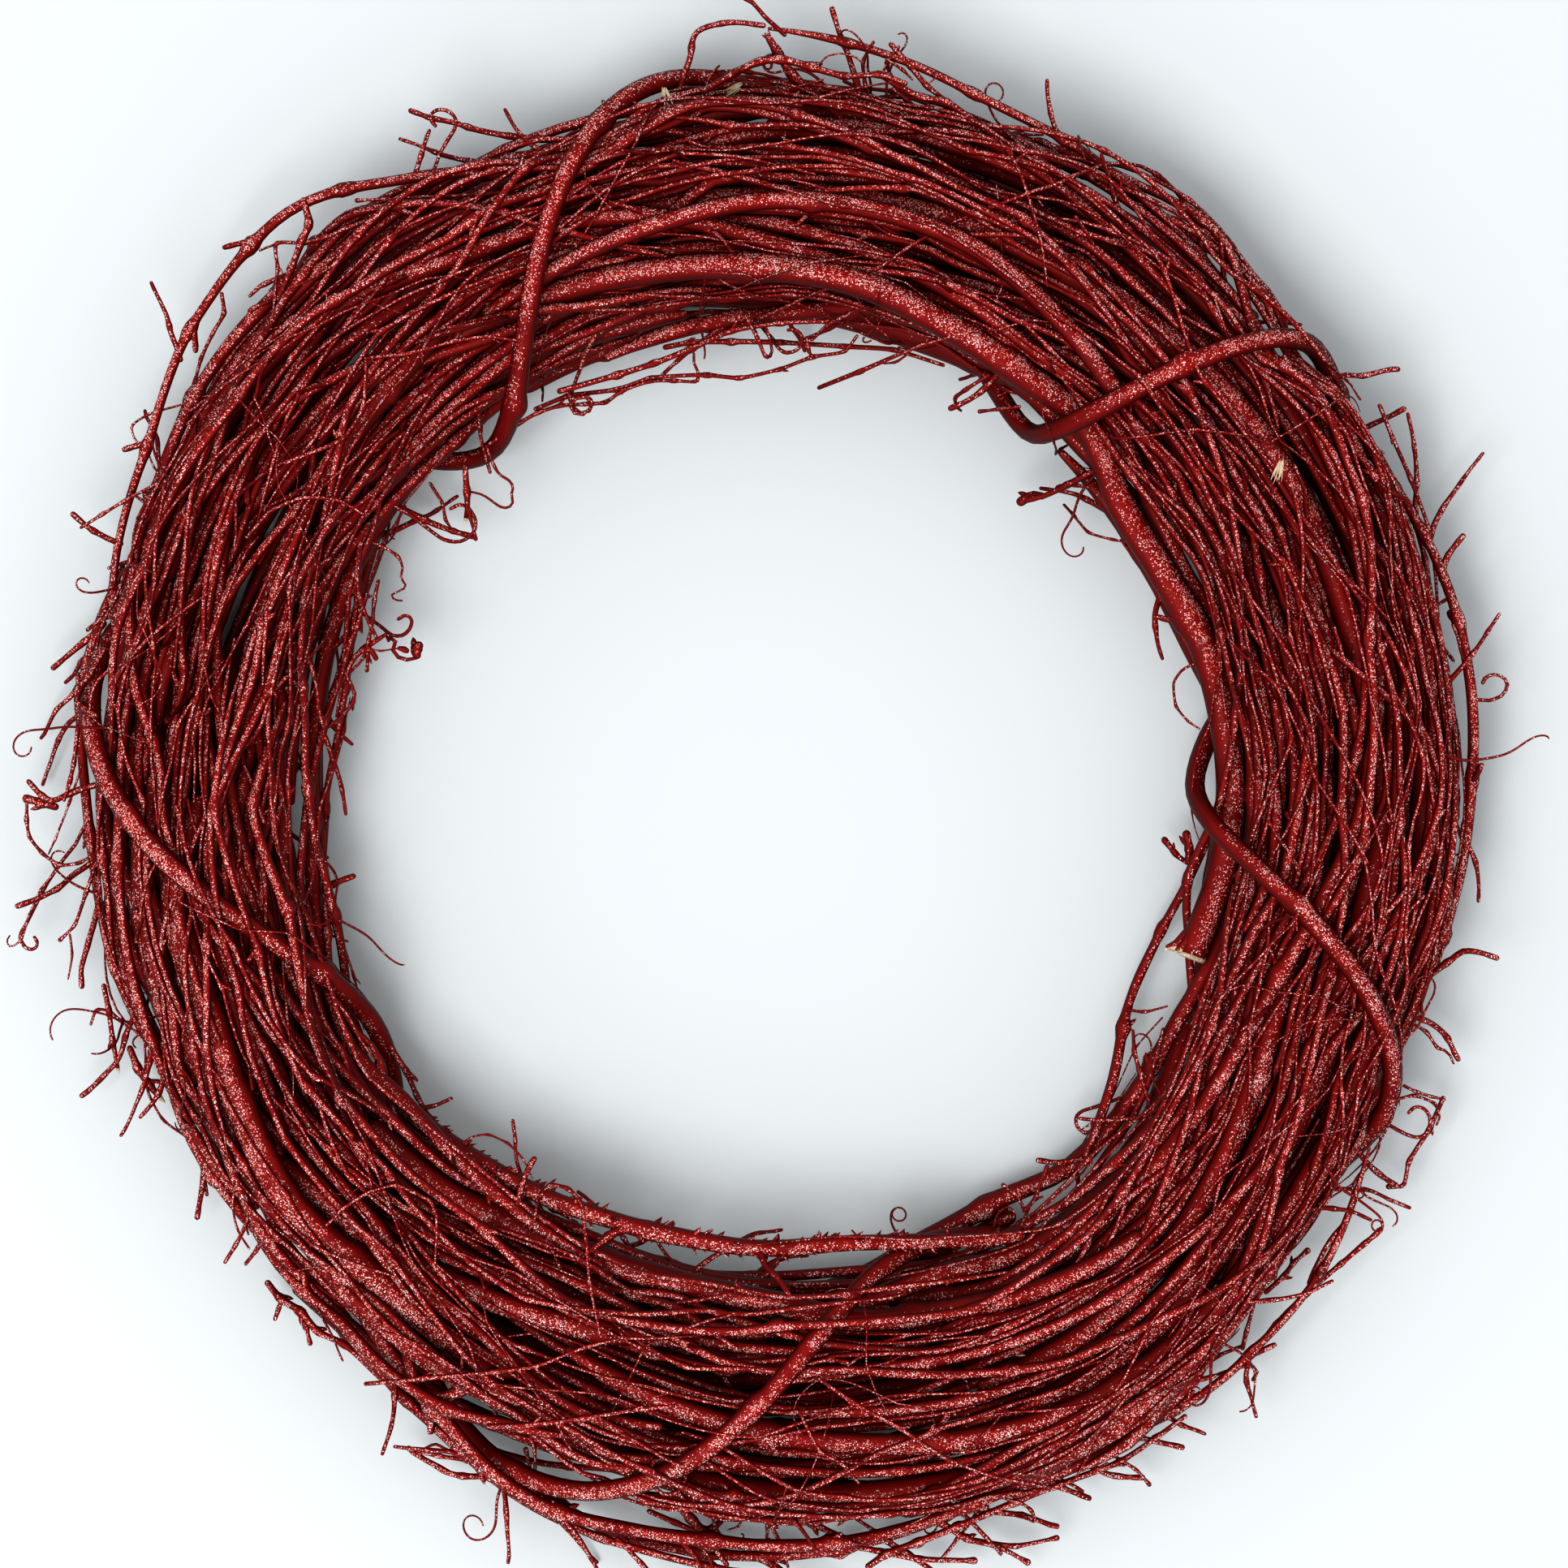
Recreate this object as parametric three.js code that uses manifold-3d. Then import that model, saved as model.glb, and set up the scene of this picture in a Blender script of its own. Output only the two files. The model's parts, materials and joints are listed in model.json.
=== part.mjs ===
// A grapevine wreath: long woody canes coiled side by side into a ring, with side twigs, curled tendrils
// and one long vine wound five times round the bundle to bind it. It lies flat on a surface.
// Millimetres, +Z up. The origin is the middle of its footprint, on the surface.
import * as THREE from "three";
import { mergeVertices } from "three/addons/utils/BufferGeometryUtils.js";
import Module from "manifold-3d";

const wasm = await Module();
wasm.setup();

// Driving dimensions of the ring
const ringRadius = 146; // from the middle of the hole to the middle of the bundle
const ringStretch = 0.029; // how much taller than wide the ring is, as a share of its radius
const bundleHalfWidth = 34;
const bundleHalfHeight = 23;
const floorRoom = 0.6; // the lowest cane runs this far above the surface
const bundleHeight = bundleHalfHeight + floorRoom; // of the bundle's centre line
// Where the ring swings out or in, and where the bundle is slimmer or fuller than usual: angle, reach to
// each side in degrees, and change in mm
const radiusChanges = [
  { at: 300, reach: 17, by: 5 },
  { at: 341, reach: 14, by: -4 },
  { at: 238, reach: 20, by: -3.5 },
];
const widthChanges = [
  { at: 200, reach: 33, by: -6 },
  { at: 268, reach: 15, by: 5 },
  { at: 320, reach: 9, by: -7 },
  { at: 68, reach: 10, by: -3 },
];

// The canes lie in half-planes through the ring's axis, one at each station
const stationCount = 36;
const stationAngle = (2 * Math.PI) / stationCount;
const degree = Math.PI / 180;
const caneGap = 0.5; // between two settled canes
const twigGap = 0.45;
const drawnTaper = 0.4; // how much thinner a drawn cane is at its tip
const placedTaper = 0.3;
const drawnHold = 0.02; // how strongly a settling cane is drawn back to its own route
const placedHold = 0.3;
const drawnDepth = [0.06, 1]; // squared, from the bundle's centre line to its outline
const drawnSway = [0.1, 0.3]; // how much a drawn cane's way round the bundle wavers

// Settling: rounds in which the canes swell to their full size and straighten, and rounds that only part them
const settleRounds = 300;
const tightenRounds = 300;
const firstSwell = 0.35;
const swellPerRound = 1.1 / settleRounds;
const straightening = 0.12;
const settleEase = 1.2;
const tightenEase = 1.5;

// Cane families: how many, radius, how many stations a cane runs past, how much it winds round the bundle
// on its way, the sides of its section and its twigs
const caneFamilies = [
  { name: "thick_cane", count: 6, radius: [3.3, 4.1], span: [22, 31], winding: [0.2, 1], sides: 5, twigs: 2 },
  { name: "cane", count: 15, radius: [2.2, 3.0], span: [20, 32], winding: [0.3, 1.4], sides: 4, twigs: 2 },
  { name: "thin_cane", count: 20, radius: [1.35, 1.9], span: [15, 31], winding: [0.5, 2], sides: 3, twigs: 3 },
];

// Canes with a place of their own: each point is an angle in degrees, a distance from the ring's axis and a
// height, and twigs is the number of twigs that grow from it at random
const placedCanes = [
  {
    name: "cut_end_cane",
    radius: 4.0,
    sides: 6,
    route: [[131, 143, 30], [113, 138, 37], [96, 134, 42], [80, 132, 43], [66, 125, 39], [51, 118, 33],
      [33, 115, 28], [14, 117, 24], [-1, 114, 21], [-21, 112, 21]],
  },
  {
    name: "upper_smooth_cane",
    radius: 2.7,
    sides: 5,
    route: [[121, 142, 40], [105, 146, 44], [94, 150, 45], [81, 150, 45], [70, 148, 44], [60, 141, 42],
      [49, 134, 38]],
  },
  {
    name: "lower_thick_cane",
    radius: 3.6,
    sides: 5,
    route: [[214, 127, 34], [234, 123.5, 32], [254, 122, 32], [265, 123, 34], [283, 131, 38], [299, 139, 39],
      [314, 144, 34]],
  },
  {
    name: "thorny_cane",
    radius: 2.5,
    sides: 6,
    route: [[210, 124, 22], [221, 120, 27], [237, 115, 33], [250, 111.5, 37], [263, 110.5, 38],
      [275, 112.5, 36], [285, 118, 30], [294, 125, 26], [303, 130, 24]],
  },
  {
    name: "upper_left_stray",
    radius: 1.5,
    sides: 4,
    twigs: 3,
    route: [[98, 162, 36], [108, 167, 36], [117, 174, 36], [124, 189, 34], [130, 195, 32], [138, 191, 29],
      [147, 181, 28], [156, 181, 25], [165, 175, 20], [176, 166, 18]],
  },
  {
    name: "upper_right_stray",
    radius: 1.4,
    sides: 4,
    twigs: 3,
    route: [[91, 194, 31], [82, 192, 33], [76, 184, 33], [66, 182, 32], [55, 178, 30], [43, 172, 28],
      [33, 166, 27]],
  },
  {
    name: "lower_right_stray",
    radius: 1.3,
    sides: 3,
    twigs: 2,
    route: [[-23, 165, 32], [-33, 178, 30], [-45, 187, 25], [-55, 186, 21], [-66, 182, 20], [-78, 172, 20]],
  },
  {
    name: "left_stray",
    radius: 1.4,
    sides: 3,
    twigs: 3,
    route: [[152, 166, 16], [163, 174, 15], [176, 175, 13], [190, 172, 14], [204, 169, 17], [218, 160, 20]],
  },
  {
    name: "outer_left_cane",
    radius: 1.9,
    sides: 4,
    twigs: 2,
    route: [[112, 170, 27], [122, 178, 26], [134, 180, 25], [146, 177, 23], [158, 172, 22], [172, 169, 22],
      [187, 164, 22]],
  },
  {
    name: "bottom_outer_cane",
    radius: 2.0,
    sides: 4,
    twigs: 3,
    route: [[226, 160, 30], [240, 174, 29], [252, 183, 27], [264, 188, 26], [277, 188, 26], [290, 184, 26],
      [306, 172, 28]],
  },
  {
    name: "bottom_stray_long",
    radius: 1.7,
    sides: 4,
    twigs: 3,
    route: [[228, 162, 14], [244, 180, 12], [258, 191, 12], [272, 193, 11], [284, 188, 13], [300, 174, 16]],
  },
  {
    name: "bottom_stray_short",
    radius: 1.4,
    sides: 3,
    twigs: 3,
    route: [[226, 166, 28], [240, 176, 25], [252, 186, 21], [263, 194, 18], [274, 199, 17]],
  },
  {
    name: "right_stray_outer",
    radius: 1.6,
    sides: 4,
    twigs: 3,
    route: [[42, 166, 26], [32, 175, 24], [21, 180, 24], [9, 180, 23], [-3, 176, 23], [-16, 174, 23],
      [-28, 164, 23]],
  },
  {
    name: "right_stray_upper",
    radius: 1.3,
    sides: 3,
    twigs: 2,
    route: [[50, 160, 40], [38, 168, 38], [26, 174, 36], [14, 175, 33], [2, 170, 31], [-12, 162, 30]],
  },
  {
    name: "inner_stray",
    radius: 1.4,
    sides: 4,
    route: [[8, 120, 14], [-8, 109, 11], [-20, 104, 9], [-29, 103, 9], [-38, 113, 12], [-51, 124, 15]],
  },
  {
    name: "inner_low_cane",
    radius: 2.6,
    sides: 5,
    route: [[-90, 128, 17], [-74, 121, 16], [-63, 118, 14], [-52, 120, 13], [-40, 119, 13], [-28, 116, 14],
      [-9, 123, 14]],
  },
];

// The binding vine crosses the top from the hole's side, at inner, to the outside, at outer, in degrees.
// Both of its ends lie beneath the bundle.
const bindingRadius = 2.6;
const bindingSides = 6;
const bindingFlat = 0.4; // how much of its underside is worn flat where the wreath rests on it
const bindingPinch = 0.92; // it draws the bundle in to this share of its size
const bindingTurns = [
  { inner: 128, outer: 97 },
  { inner: 55, outer: 39 },
  { inner: 2, outer: -27 },
  { inner: -70, outer: -112 },
  { inner: -151, outer: -190 },
];
const bindingStart = 141;
const bindingEnd = -207;
const bindingQuarterSteps = 3; // straight pieces in a quarter of a turn round the bundle
const beadsPerStep = 7;

// Twigs and tendrils that stand out of the outline: where the tip is (degrees, mm from the axis, height),
// where the root is, and a bend at its middle
const strayTwigs = [
  { root: [106, 176], tip: [117.5, 196, 30], bow: 1 },
  { root: [97, 178], tip: [95, 195, 32], then: [90.5, 195, 33] },
  { root: [83, 184], tip: [85.5, 200, 28], bow: 0 },
  { root: [36, 176], tip: [34.5, 192, 26], bow: 0 },
  { root: [33.5, 176], tip: [31.8, 189, 22], bow: 1 },
  { root: [19, 178], tip: [21, 187, 24], bow: 1 },
  { root: [-15, 172], tip: [-12, 180, 30], then: [-12, 187, 31] },
  { root: [-18, 172], tip: [-20.5, 187, 16], bow: 2 },
  { root: [-25, 172], tip: [-31.5, 186, 18], bow: -3 },
  { root: [-39, 170], tip: [-36.5, 180, 28], bow: 1 },
  { root: [-42, 184], tip: [-35, 188, 25], bow: 1 },
  { root: [-61, 178], tip: [-57.5, 194, 20], bow: 1 },
  { root: [-64, 180], tip: [-61, 196, 14], bow: -2 },
  { root: [-69, 180], tip: [-65.5, 194, 18], bow: 0 },
  { root: [-74, 186], tip: [-68.5, 198, 12], bow: 1 },
  { root: [-82, 186], tip: [-78, 201, 10], bow: 1 },
  { root: [-91, 190], tip: [-86, 204, 12], bow: 1 },
  { root: [247, 182], tip: [241, 188, 14], bow: 4 },
  { root: [211, 168], tip: [216, 180, 12], bow: 0 },
  { root: [199, 172], tip: [203, 190, 14], bow: 3 },
  { root: [189, 174], tip: [195, 181, 16], bow: -1 },
  { root: [184, 175], tip: [188, 192, 20], bow: 1 },
  { root: [177, 174], tip: [180, 182, 26], then: [178.5, 187, 24] },
  { root: [157, 178], tip: [157.5, 190, 26], bow: 1 },
  { root: [164, 174], tip: [169.5, 185, 12], bow: 0 },
  { root: [46, 118], tip: [49.5, 100, 20], bow: 1 },
  { root: [62, 124], tip: [65, 109, 30], bow: 1 },
  { root: [-50, 122], tip: [-53, 113, 24], bow: 1 },
  { root: [240, 117], tip: [236.5, 107, 40], bow: 1 },
  { root: [140, 116], tip: [138, 101, 16], bow: -1 },
  { root: [191, 118], tip: [190, 107, 22], bow: 0 },
  { root: [251, 113], tip: [248, 121, 42], bow: 0, radius: 1.9 },
  { root: [267, 113], tip: [272, 123, 46], bow: 0 },
];
const strayTwigRadius = [1.15, 0.8];
const strayTendrils = [
  { root: [182, 176], tip: [190, 193, 16], curl: 3 },
  { root: [154, 116], tip: [156, 104, 20], curl: 3.5 },
  { root: [-37, 116], tip: [-45, 112, 10], curl: 3 },
  { root: [118, 180], tip: [115, 186, 36], curl: 4 },
  { root: [10, 177], tip: [8, 184, 24], curl: 4 },
  { root: [-27, 172], tip: [-27.5, 183, 20], curl: 4.5 },
  { root: [91, 124], tip: [89, 114, 32], curl: 4 },
  { root: [143, 117], tip: [141, 105, 30], curl: 6 },
];
const tendrilRadius = 0.6;
const curlTurn = 1.4 * Math.PI;
const curlSteps = 6;
const curlShrink = 0.45; // how much tighter a curl is at its end
const curlRise = 0.35; // of its radius
const farthestRoot = 22; // from the root that the list gives to the one that is used
const rootHeightWeight = 0.35; // of a difference in height there
const rootsPerStation = 3; // places tried along a cane

// Twigs that grow at random from the drawn canes
const twigRadius = [0.85, 1.25];
const twigTip = 0.5;
const rootShare = 0.8; // of its cane's radius is the most that a twig has
const twigLength = [12, 30];
const twigRoots = [0.06, 0.98]; // along the cane
const twigLean = [20, 55]; // away from the cane at the root, in degrees
const twigTipLean = [5, 75];
const twigSkew = [-0.7, 0.7]; // how much the lean turns sideways
const twigsForward = 0.8; // the share that points to the cane's own tip
const twigSteps = 4;
const twigSides = 3;
const twigAttempts = 60;
const edgeBand = 3; // how far inside the bundle's outline a tip may end and still show
const roomStep = 1.5; // between the spots at which a twig's room is tested
const clearHoleRadius = 97; // nothing reaches closer to the ring's axis
const tallest = 55; // no twig reaches higher

const thornCount = 15;
const thornHeight = 1.8;
const thornBase = 1.2;
const thornTip = 0.35;
const thornSpread = 50 * degree; // between the three rows of thorns
const thornSlant = 0.4;
const thornSides = 4;

const caneSeed = 6;
const twigSeed = 7;

// One stream of draws for each kind of growth, so that a change to one leaves the others as they are
function drawStream(seed) {
  let state = seed;
  return () => {
    state = (Math.imul(state, 1664525) + 1013904223) >>> 0;
    return state / 4294967296;
  };
}

const between = (draw, [low, high]) => low + (high - low) * draw();

// Shape of the bundle at an angle
function bump(angle, at, reach) {
  const away = Math.atan2(Math.sin(angle - at * degree), Math.cos(angle - at * degree));
  return Math.exp(-((away / (reach * degree)) ** 2));
}

function withChanges(usual, changes, angle) {
  return changes.reduce((sum, { at, reach, by }) => sum + by * bump(angle, at, reach), usual);
}

const halfWidth = (angle) => withChanges(bundleHalfWidth, widthChanges, angle);

function centreRadius(angle) {
  return withChanges(ringRadius * (1 - ringStretch * Math.cos(2 * angle)), radiusChanges, angle);
}

// From an angle and a place in the half-plane there (out from the bundle's centre line, and up) to a point
function pointAt(angle, out, up) {
  const radius = centreRadius(angle) + out;
  return new THREE.Vector3(radius * Math.cos(angle), radius * Math.sin(angle), bundleHeight + up);
}

// The binding vine's centre line

// Each control point is an angle in degrees, and a place out and up from the bundle's centre line. The phase
// is the place in the turn, in quarters: 0 outside, 1 on top, 2 in the hole and 3 beneath.
function bindingPlace(at, quarters) {
  const phase = (quarters * Math.PI) / 2;
  const topReach = bindingPinch * bundleHalfHeight + bindingRadius;
  const bottomReach = bundleHeight - bindingRadius + bindingFlat;
  const out = (bindingPinch * halfWidth(at * degree) + bindingRadius) * Math.cos(phase);
  const up = (Math.sin(phase) > 0 ? topReach : bottomReach) * Math.sin(phase);
  return new THREE.Vector3(at, out, up);
}

function bindingPlaces() {
  const corners = [{ at: bindingStart, quarters: 3 }];
  bindingTurns.forEach(({ inner, outer }, turn) => {
    corners.push({ at: inner, quarters: 2 - 4 * turn }, { at: outer, quarters: -4 * turn });
  });
  corners.push({ at: bindingEnd, quarters: 3 - 4 * bindingTurns.length });
  const places = corners.slice(1).flatMap((to, i) => {
    const from = corners[i];
    const steps = bindingQuarterSteps * (from.quarters - to.quarters);
    return Array.from({ length: steps }, (_, n) => {
      const at = from.at + ((to.at - from.at) * n) / steps;
      return bindingPlace(at, from.quarters - n / bindingQuarterSteps);
    });
  });
  return [...places, bindingPlace(bindingEnd, 3)];
}

// A bead's place among the stations, and the way into the bundle there. The canes run straight between
// stations, which the bead's place allows for.
function bindingBead(point) {
  const angle = Math.atan2(point.y, point.x);
  const stationsAlong = (angle / stationAngle + stationCount) % stationCount;
  const station = Math.floor(stationsAlong);
  const share = stationsAlong - station;
  const sag = ringRadius * (1 - Math.cos(stationAngle / 2)) * 4 * share * (1 - share);
  const out = Math.hypot(point.x, point.y) - centreRadius(angle) + sag;
  const up = point.z - bundleHeight;
  const inward = new THREE.Vector2(-out / halfWidth(angle) ** 2, -up / bundleHalfHeight ** 2).normalize();
  return { station, share, out, up, inOut: inward.x, inUp: inward.y };
}

function beadsAlong(row) {
  return row.slice(1).flatMap((end, i) => {
    const shares = Array.from({ length: beadsPerStep }, (_, n) => n / beadsPerStep);
    return shares.map((share) => bindingBead(row[i].clone().lerp(end, share)));
  });
}

// Canes as rows of places, one for each station they pass

function emptyCane(name, radius, taper, sides, first, span) {
  const cane = { name, sides, first, span, grown: [] };
  for (const field of ["out", "up", "aimOut", "aimUp", "girth"]) cane[field] = new Float64Array(stationCount);
  cane.lives = new Array(stationCount).fill(false);
  for (let i = 0; i <= span; i++) {
    const k = (first + i) % stationCount;
    cane.lives[k] = true;
    cane.girth[k] = radius * (1 - taper * (i / span) ** 2);
  }
  return cane;
}

function drawnCane(name, family, draw) {
  const radius = between(draw, family.radius);
  const first = Math.floor(draw() * stationCount);
  const span = Math.round(between(draw, family.span));
  const cane = emptyCane(name, radius, drawnTaper, family.sides, first, span);
  const phase = 2 * Math.PI * draw();
  const depth = Math.sqrt(between(draw, drawnDepth));
  const twist = between(draw, family.winding) * (draw() < 0.5 ? -1 : 1);
  const sway = between(draw, drawnSway);
  const swayPhase = 2 * Math.PI * draw();
  for (let k = first; k <= first + span; k++) {
    const angle = k * stationAngle;
    const turn = phase + twist * angle + sway * Math.sin(2 * angle + swayPhase);
    const share = depth * (1 + 0.5 * sway * Math.sin(3 * angle + 2 * swayPhase));
    cane.aimOut[k % stationCount] = halfWidth(angle) * share * Math.cos(turn);
    cane.aimUp[k % stationCount] = bundleHalfHeight * share * Math.sin(turn);
  }
  return Object.assign(cane, { hold: drawnHold, confined: true, twigs: family.twigs });
}

// A placed cane's route, read at each station between its first and last points
function placedCane({ name, radius, sides, route, twigs = 0 }) {
  const rising = [...route].sort((a, b) => a[0] - b[0]);
  const first = Math.ceil((rising[0][0] * degree) / stationAngle);
  const last = Math.floor((rising[rising.length - 1][0] * degree) / stationAngle);
  const cane = emptyCane(name, radius, placedTaper, sides, (first + stationCount) % stationCount, last - first);
  for (let k = first; k <= last; k++) {
    const at = (k * stationAngle) / degree;
    const after = Math.max(1, rising.findIndex((point) => point[0] >= at));
    const [low, high] = [rising[after - 1], rising[after]];
    const share = (at - low[0]) / (high[0] - low[0]);
    const station = (k + stationCount) % stationCount;
    cane.aimOut[station] = low[1] + (high[1] - low[1]) * share - centreRadius(k * stationAngle);
    cane.aimUp[station] = low[2] + (high[2] - low[2]) * share - bundleHeight;
  }
  return Object.assign(cane, { hold: placedHold, confined: false, twigs });
}

// The canes start at their aims and push each other apart, station by station, until none touch. Each keeps
// as straight as its neighbours let it, inside the bundle's outline and above the surface.

function clearPushes(cane) {
  for (const field of ["pushOut", "pushUp", "hits"]) cane[field] = new Float64Array(stationCount);
}

function addPush(cane, k, share, size, out, up) {
  if (share < 1e-3) return;
  cane.pushOut[k] += share * size * out;
  cane.pushUp[k] += share * size * up;
  cane.hits[k] += 1;
}

function applyPushes(cane, ease) {
  for (let k = 0; k < stationCount; k++) {
    if (cane.hits[k] === 0) continue;
    cane.out[k] += (ease * cane.pushOut[k]) / cane.hits[k];
    cane.up[k] += (ease * cane.pushUp[k]) / cane.hits[k];
  }
}

function pushPairApart(a, b, k, swell) {
  const next = (k + 1) % stationCount;
  if (!(a.lives[k] && a.lives[next] && b.lives[k] && b.lives[next])) return;
  const out0 = a.out[k] - b.out[k];
  const up0 = a.up[k] - b.up[k];
  const out1 = a.out[next] - b.out[next] - out0;
  const up1 = a.up[next] - b.up[next] - up0;
  const change = out1 * out1 + up1 * up1 + 1e-12;
  const t = Math.min(1, Math.max(0, -(out0 * out1 + up0 * up1) / change));
  const out = out0 + t * out1;
  const up = up0 + t * up1;
  const apart = Math.hypot(out, up) + 1e-9;
  const touch = (a.girth[k] + b.girth[k]) * (1 - t) + (a.girth[next] + b.girth[next]) * t + caneGap;
  if (apart >= 2 * touch) return;
  const stepLength = stationAngle * (centreRadii[k] + (a.out[k] + b.out[k]) / 2);
  const leanOut = a.out[next] - a.out[k] + b.out[next] - b.out[k];
  const leanUp = a.up[next] - a.up[k] + b.up[next] - b.up[k];
  const slope = (leanOut * out + leanUp * up) / (2 * apart * stepLength);
  const need = touch * swell * Math.sqrt(1 + slope * slope);
  if (apart >= need) return;
  const size = (need - apart) / (2 * apart * ((1 - t) * (1 - t) + t * t));
  addPush(a, k, 1 - t, size, out, up);
  addPush(a, next, t, size, out, up);
  addPush(b, k, 1 - t, -size, out, up);
  addPush(b, next, t, -size, out, up);
}

// The binding vine is a row of beads: a cane of the bundle stays within it, and a placed cane on its own side
function pushOffBinding(cane, bead, swell) {
  const k = bead.station;
  const next = (k + 1) % stationCount;
  if (!(cane.lives[k] && cane.lives[next])) return;
  const t = bead.share;
  const out = cane.out[k] * (1 - t) + cane.out[next] * t - bead.out;
  const up = cane.up[k] * (1 - t) + cane.up[next] * t - bead.up;
  const apart = Math.hypot(out, up) + 1e-9;
  const need = (cane.girth[k] * (1 - t) + cane.girth[next] * t + bindingRadius + caneGap) * swell;
  if (apart >= need) return;
  const inward = out * bead.inOut + up * bead.inUp;
  const [wayOut, wayUp] = cane.confined ? [bead.inOut, bead.inUp] : [out / apart, up / apart];
  const size = (cane.confined ? need - inward : need - apart) / ((1 - t) * (1 - t) + t * t);
  addPush(cane, k, 1 - t, size, wayOut, wayUp);
  addPush(cane, next, t, size, wayOut, wayUp);
}

// A settling cane goes some of the way back to its route, and bends less
function drawBack(cane) {
  const { out, up, aimOut, aimUp, hold, first, span } = cane;
  const oldOut = out.map((value, k) => value + hold * (aimOut[k] - value));
  const oldUp = up.map((value, k) => value + hold * (aimUp[k] - value));
  out.set(oldOut);
  up.set(oldUp);
  for (let i = 1; i < span; i++) {
    const k = (first + i) % stationCount;
    const before = (k + stationCount - 1) % stationCount;
    const next = (k + 1) % stationCount;
    out[k] += straightening * ((oldOut[before] + oldOut[next]) / 2 - oldOut[k]);
    up[k] += straightening * ((oldUp[before] + oldUp[next]) / 2 - oldUp[k]);
  }
}

function keepInOutline(cane, k) {
  if (cane.confined) {
    const wide = halfWidths[k] - cane.girth[k];
    const tall = bundleHalfHeight - cane.girth[k];
    const reach = Math.hypot(cane.out[k] / wide, cane.up[k] / tall);
    if (reach > 1) {
      cane.out[k] /= reach;
      cane.up[k] /= reach;
    }
  }
  cane.up[k] = Math.max(cane.up[k], cane.girth[k] + floorRoom - bundleHeight);
}

const halfWidths = Array.from({ length: stationCount }, (_, k) => halfWidth(k * stationAngle));
const centreRadii = halfWidths.map((_, k) => centreRadius(k * stationAngle));

function settle(canes, beads) {
  for (let round = 0; round < settleRounds + tightenRounds; round++) {
    const settling = round < settleRounds;
    const swell = Math.min(1, firstSwell + swellPerRound * round);
    canes.forEach(clearPushes);
    for (let k = 0; k < stationCount; k++)
      for (let i = 0; i < canes.length; i++)
        for (let j = i + 1; j < canes.length; j++) pushPairApart(canes[i], canes[j], k, swell);
    for (const cane of canes) {
      applyPushes(cane, settling ? settleEase : tightenEase);
      if (settling) drawBack(cane);
      clearPushes(cane);
      for (const bead of beads) pushOffBinding(cane, bead, swell);
      applyPushes(cane, settleEase);
      for (let k = 0; k < stationCount; k++) keepInOutline(cane, k);
    }
  }
}

// Solids

function worldRow(cane) {
  return Array.from({ length: cane.span + 1 }, (_, i) => {
    const k = (cane.first + i) % stationCount;
    return pointAt(k * stationAngle, cane.out[k], cane.up[k]);
  });
}

function girthRow(cane) {
  return Array.from({ length: cane.span + 1 }, (_, i) => cane.girth[(cane.first + i) % stationCount]);
}

// A closed tube along a row of points, with a radius at each
function tubeGeometry(points, radii, sides) {
  const steps = points.length - 1;
  const geometry = new THREE.CylinderGeometry(1, 1, 1, sides, steps);
  geometry.deleteAttribute("normal");
  geometry.deleteAttribute("uv");
  const closed = mergeVertices(geometry);
  const forward = points.map((point, i) => {
    const after = points[Math.min(i + 1, steps)];
    return after.clone().sub(points[Math.max(i - 1, 0)]).normalize();
  });
  const sideways = [];
  forward.forEach((way, i) => {
    const guide = i > 0 ? sideways[i - 1] : new THREE.Vector3(0, 0, 1).cross(way);
    if (guide.lengthSq() < 1e-6) guide.set(1, 0, 0);
    sideways.push(guide.clone().addScaledVector(way, -guide.dot(way)).normalize());
  });
  const position = closed.attributes.position;
  const corner = new THREE.Vector3();
  for (let v = 0; v < position.count; v++) {
    const ring = Math.round((0.5 - position.getY(v)) * steps);
    const across = radii[ring] * position.getX(v);
    const upward = radii[ring] * position.getZ(v);
    corner.copy(points[ring]).addScaledVector(sideways[ring], across);
    corner.addScaledVector(forward[ring].clone().cross(sideways[ring]), upward);
    position.setXYZ(v, corner.x, corner.y, corner.z);
  }
  return closed;
}

function solidOf(geometry) {
  const vertProperties = new Float32Array(geometry.attributes.position.array);
  const triVerts = new Uint32Array(geometry.index.array);
  return new wasm.Manifold(new wasm.Mesh({ numProp: 3, vertProperties, triVerts }));
}

function geometryOf(solid) {
  const { vertProperties, triVerts } = solid.getMesh();
  const geometry = new THREE.BufferGeometry();
  geometry.setAttribute("position", new THREE.BufferAttribute(new Float32Array(vertProperties), 3));
  geometry.setIndex(new THREE.BufferAttribute(new Uint32Array(triVerts), 1));
  return geometry;
}

// Twigs grow where there is room for them. Every stem already there is held as a row of straight pieces.

function stemPieces(owner, points, radii) {
  return points.slice(1).map((end, i) => {
    return { owner, start: points[i], end, radius: Math.max(radii[i], radii[i + 1]) };
  });
}

const along = new THREE.Vector3();
const away = new THREE.Vector3();

function distanceToPiece(point, { start, end }) {
  along.subVectors(end, start);
  away.subVectors(point, start);
  const share = Math.min(1, Math.max(0, away.dot(along) / along.lengthSq()));
  return away.addScaledVector(along, -share).length();
}

function hasRoom(points, radii, parent, stems) {
  for (let i = 0; i + 1 < points.length; i++) {
    const checks = Math.max(2, Math.ceil(points[i].distanceTo(points[i + 1]) / roomStep));
    for (let n = i === 0 ? 0 : 1; n <= checks; n++) {
      const spot = points[i].clone().lerp(points[i + 1], n / checks);
      const radius = Math.max(radii[i], radii[i + 1]);
      if (spot.z < radius + floorRoom || spot.z > tallest) return false;
      if (Math.hypot(spot.x, spot.y) < clearHoleRadius + radius) return false;
      for (const stem of stems) {
        if (stem.owner === parent) continue;
        if (distanceToPiece(spot, stem) < stem.radius + radius + twigGap) return false;
      }
    }
  }
  return true;
}

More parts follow.
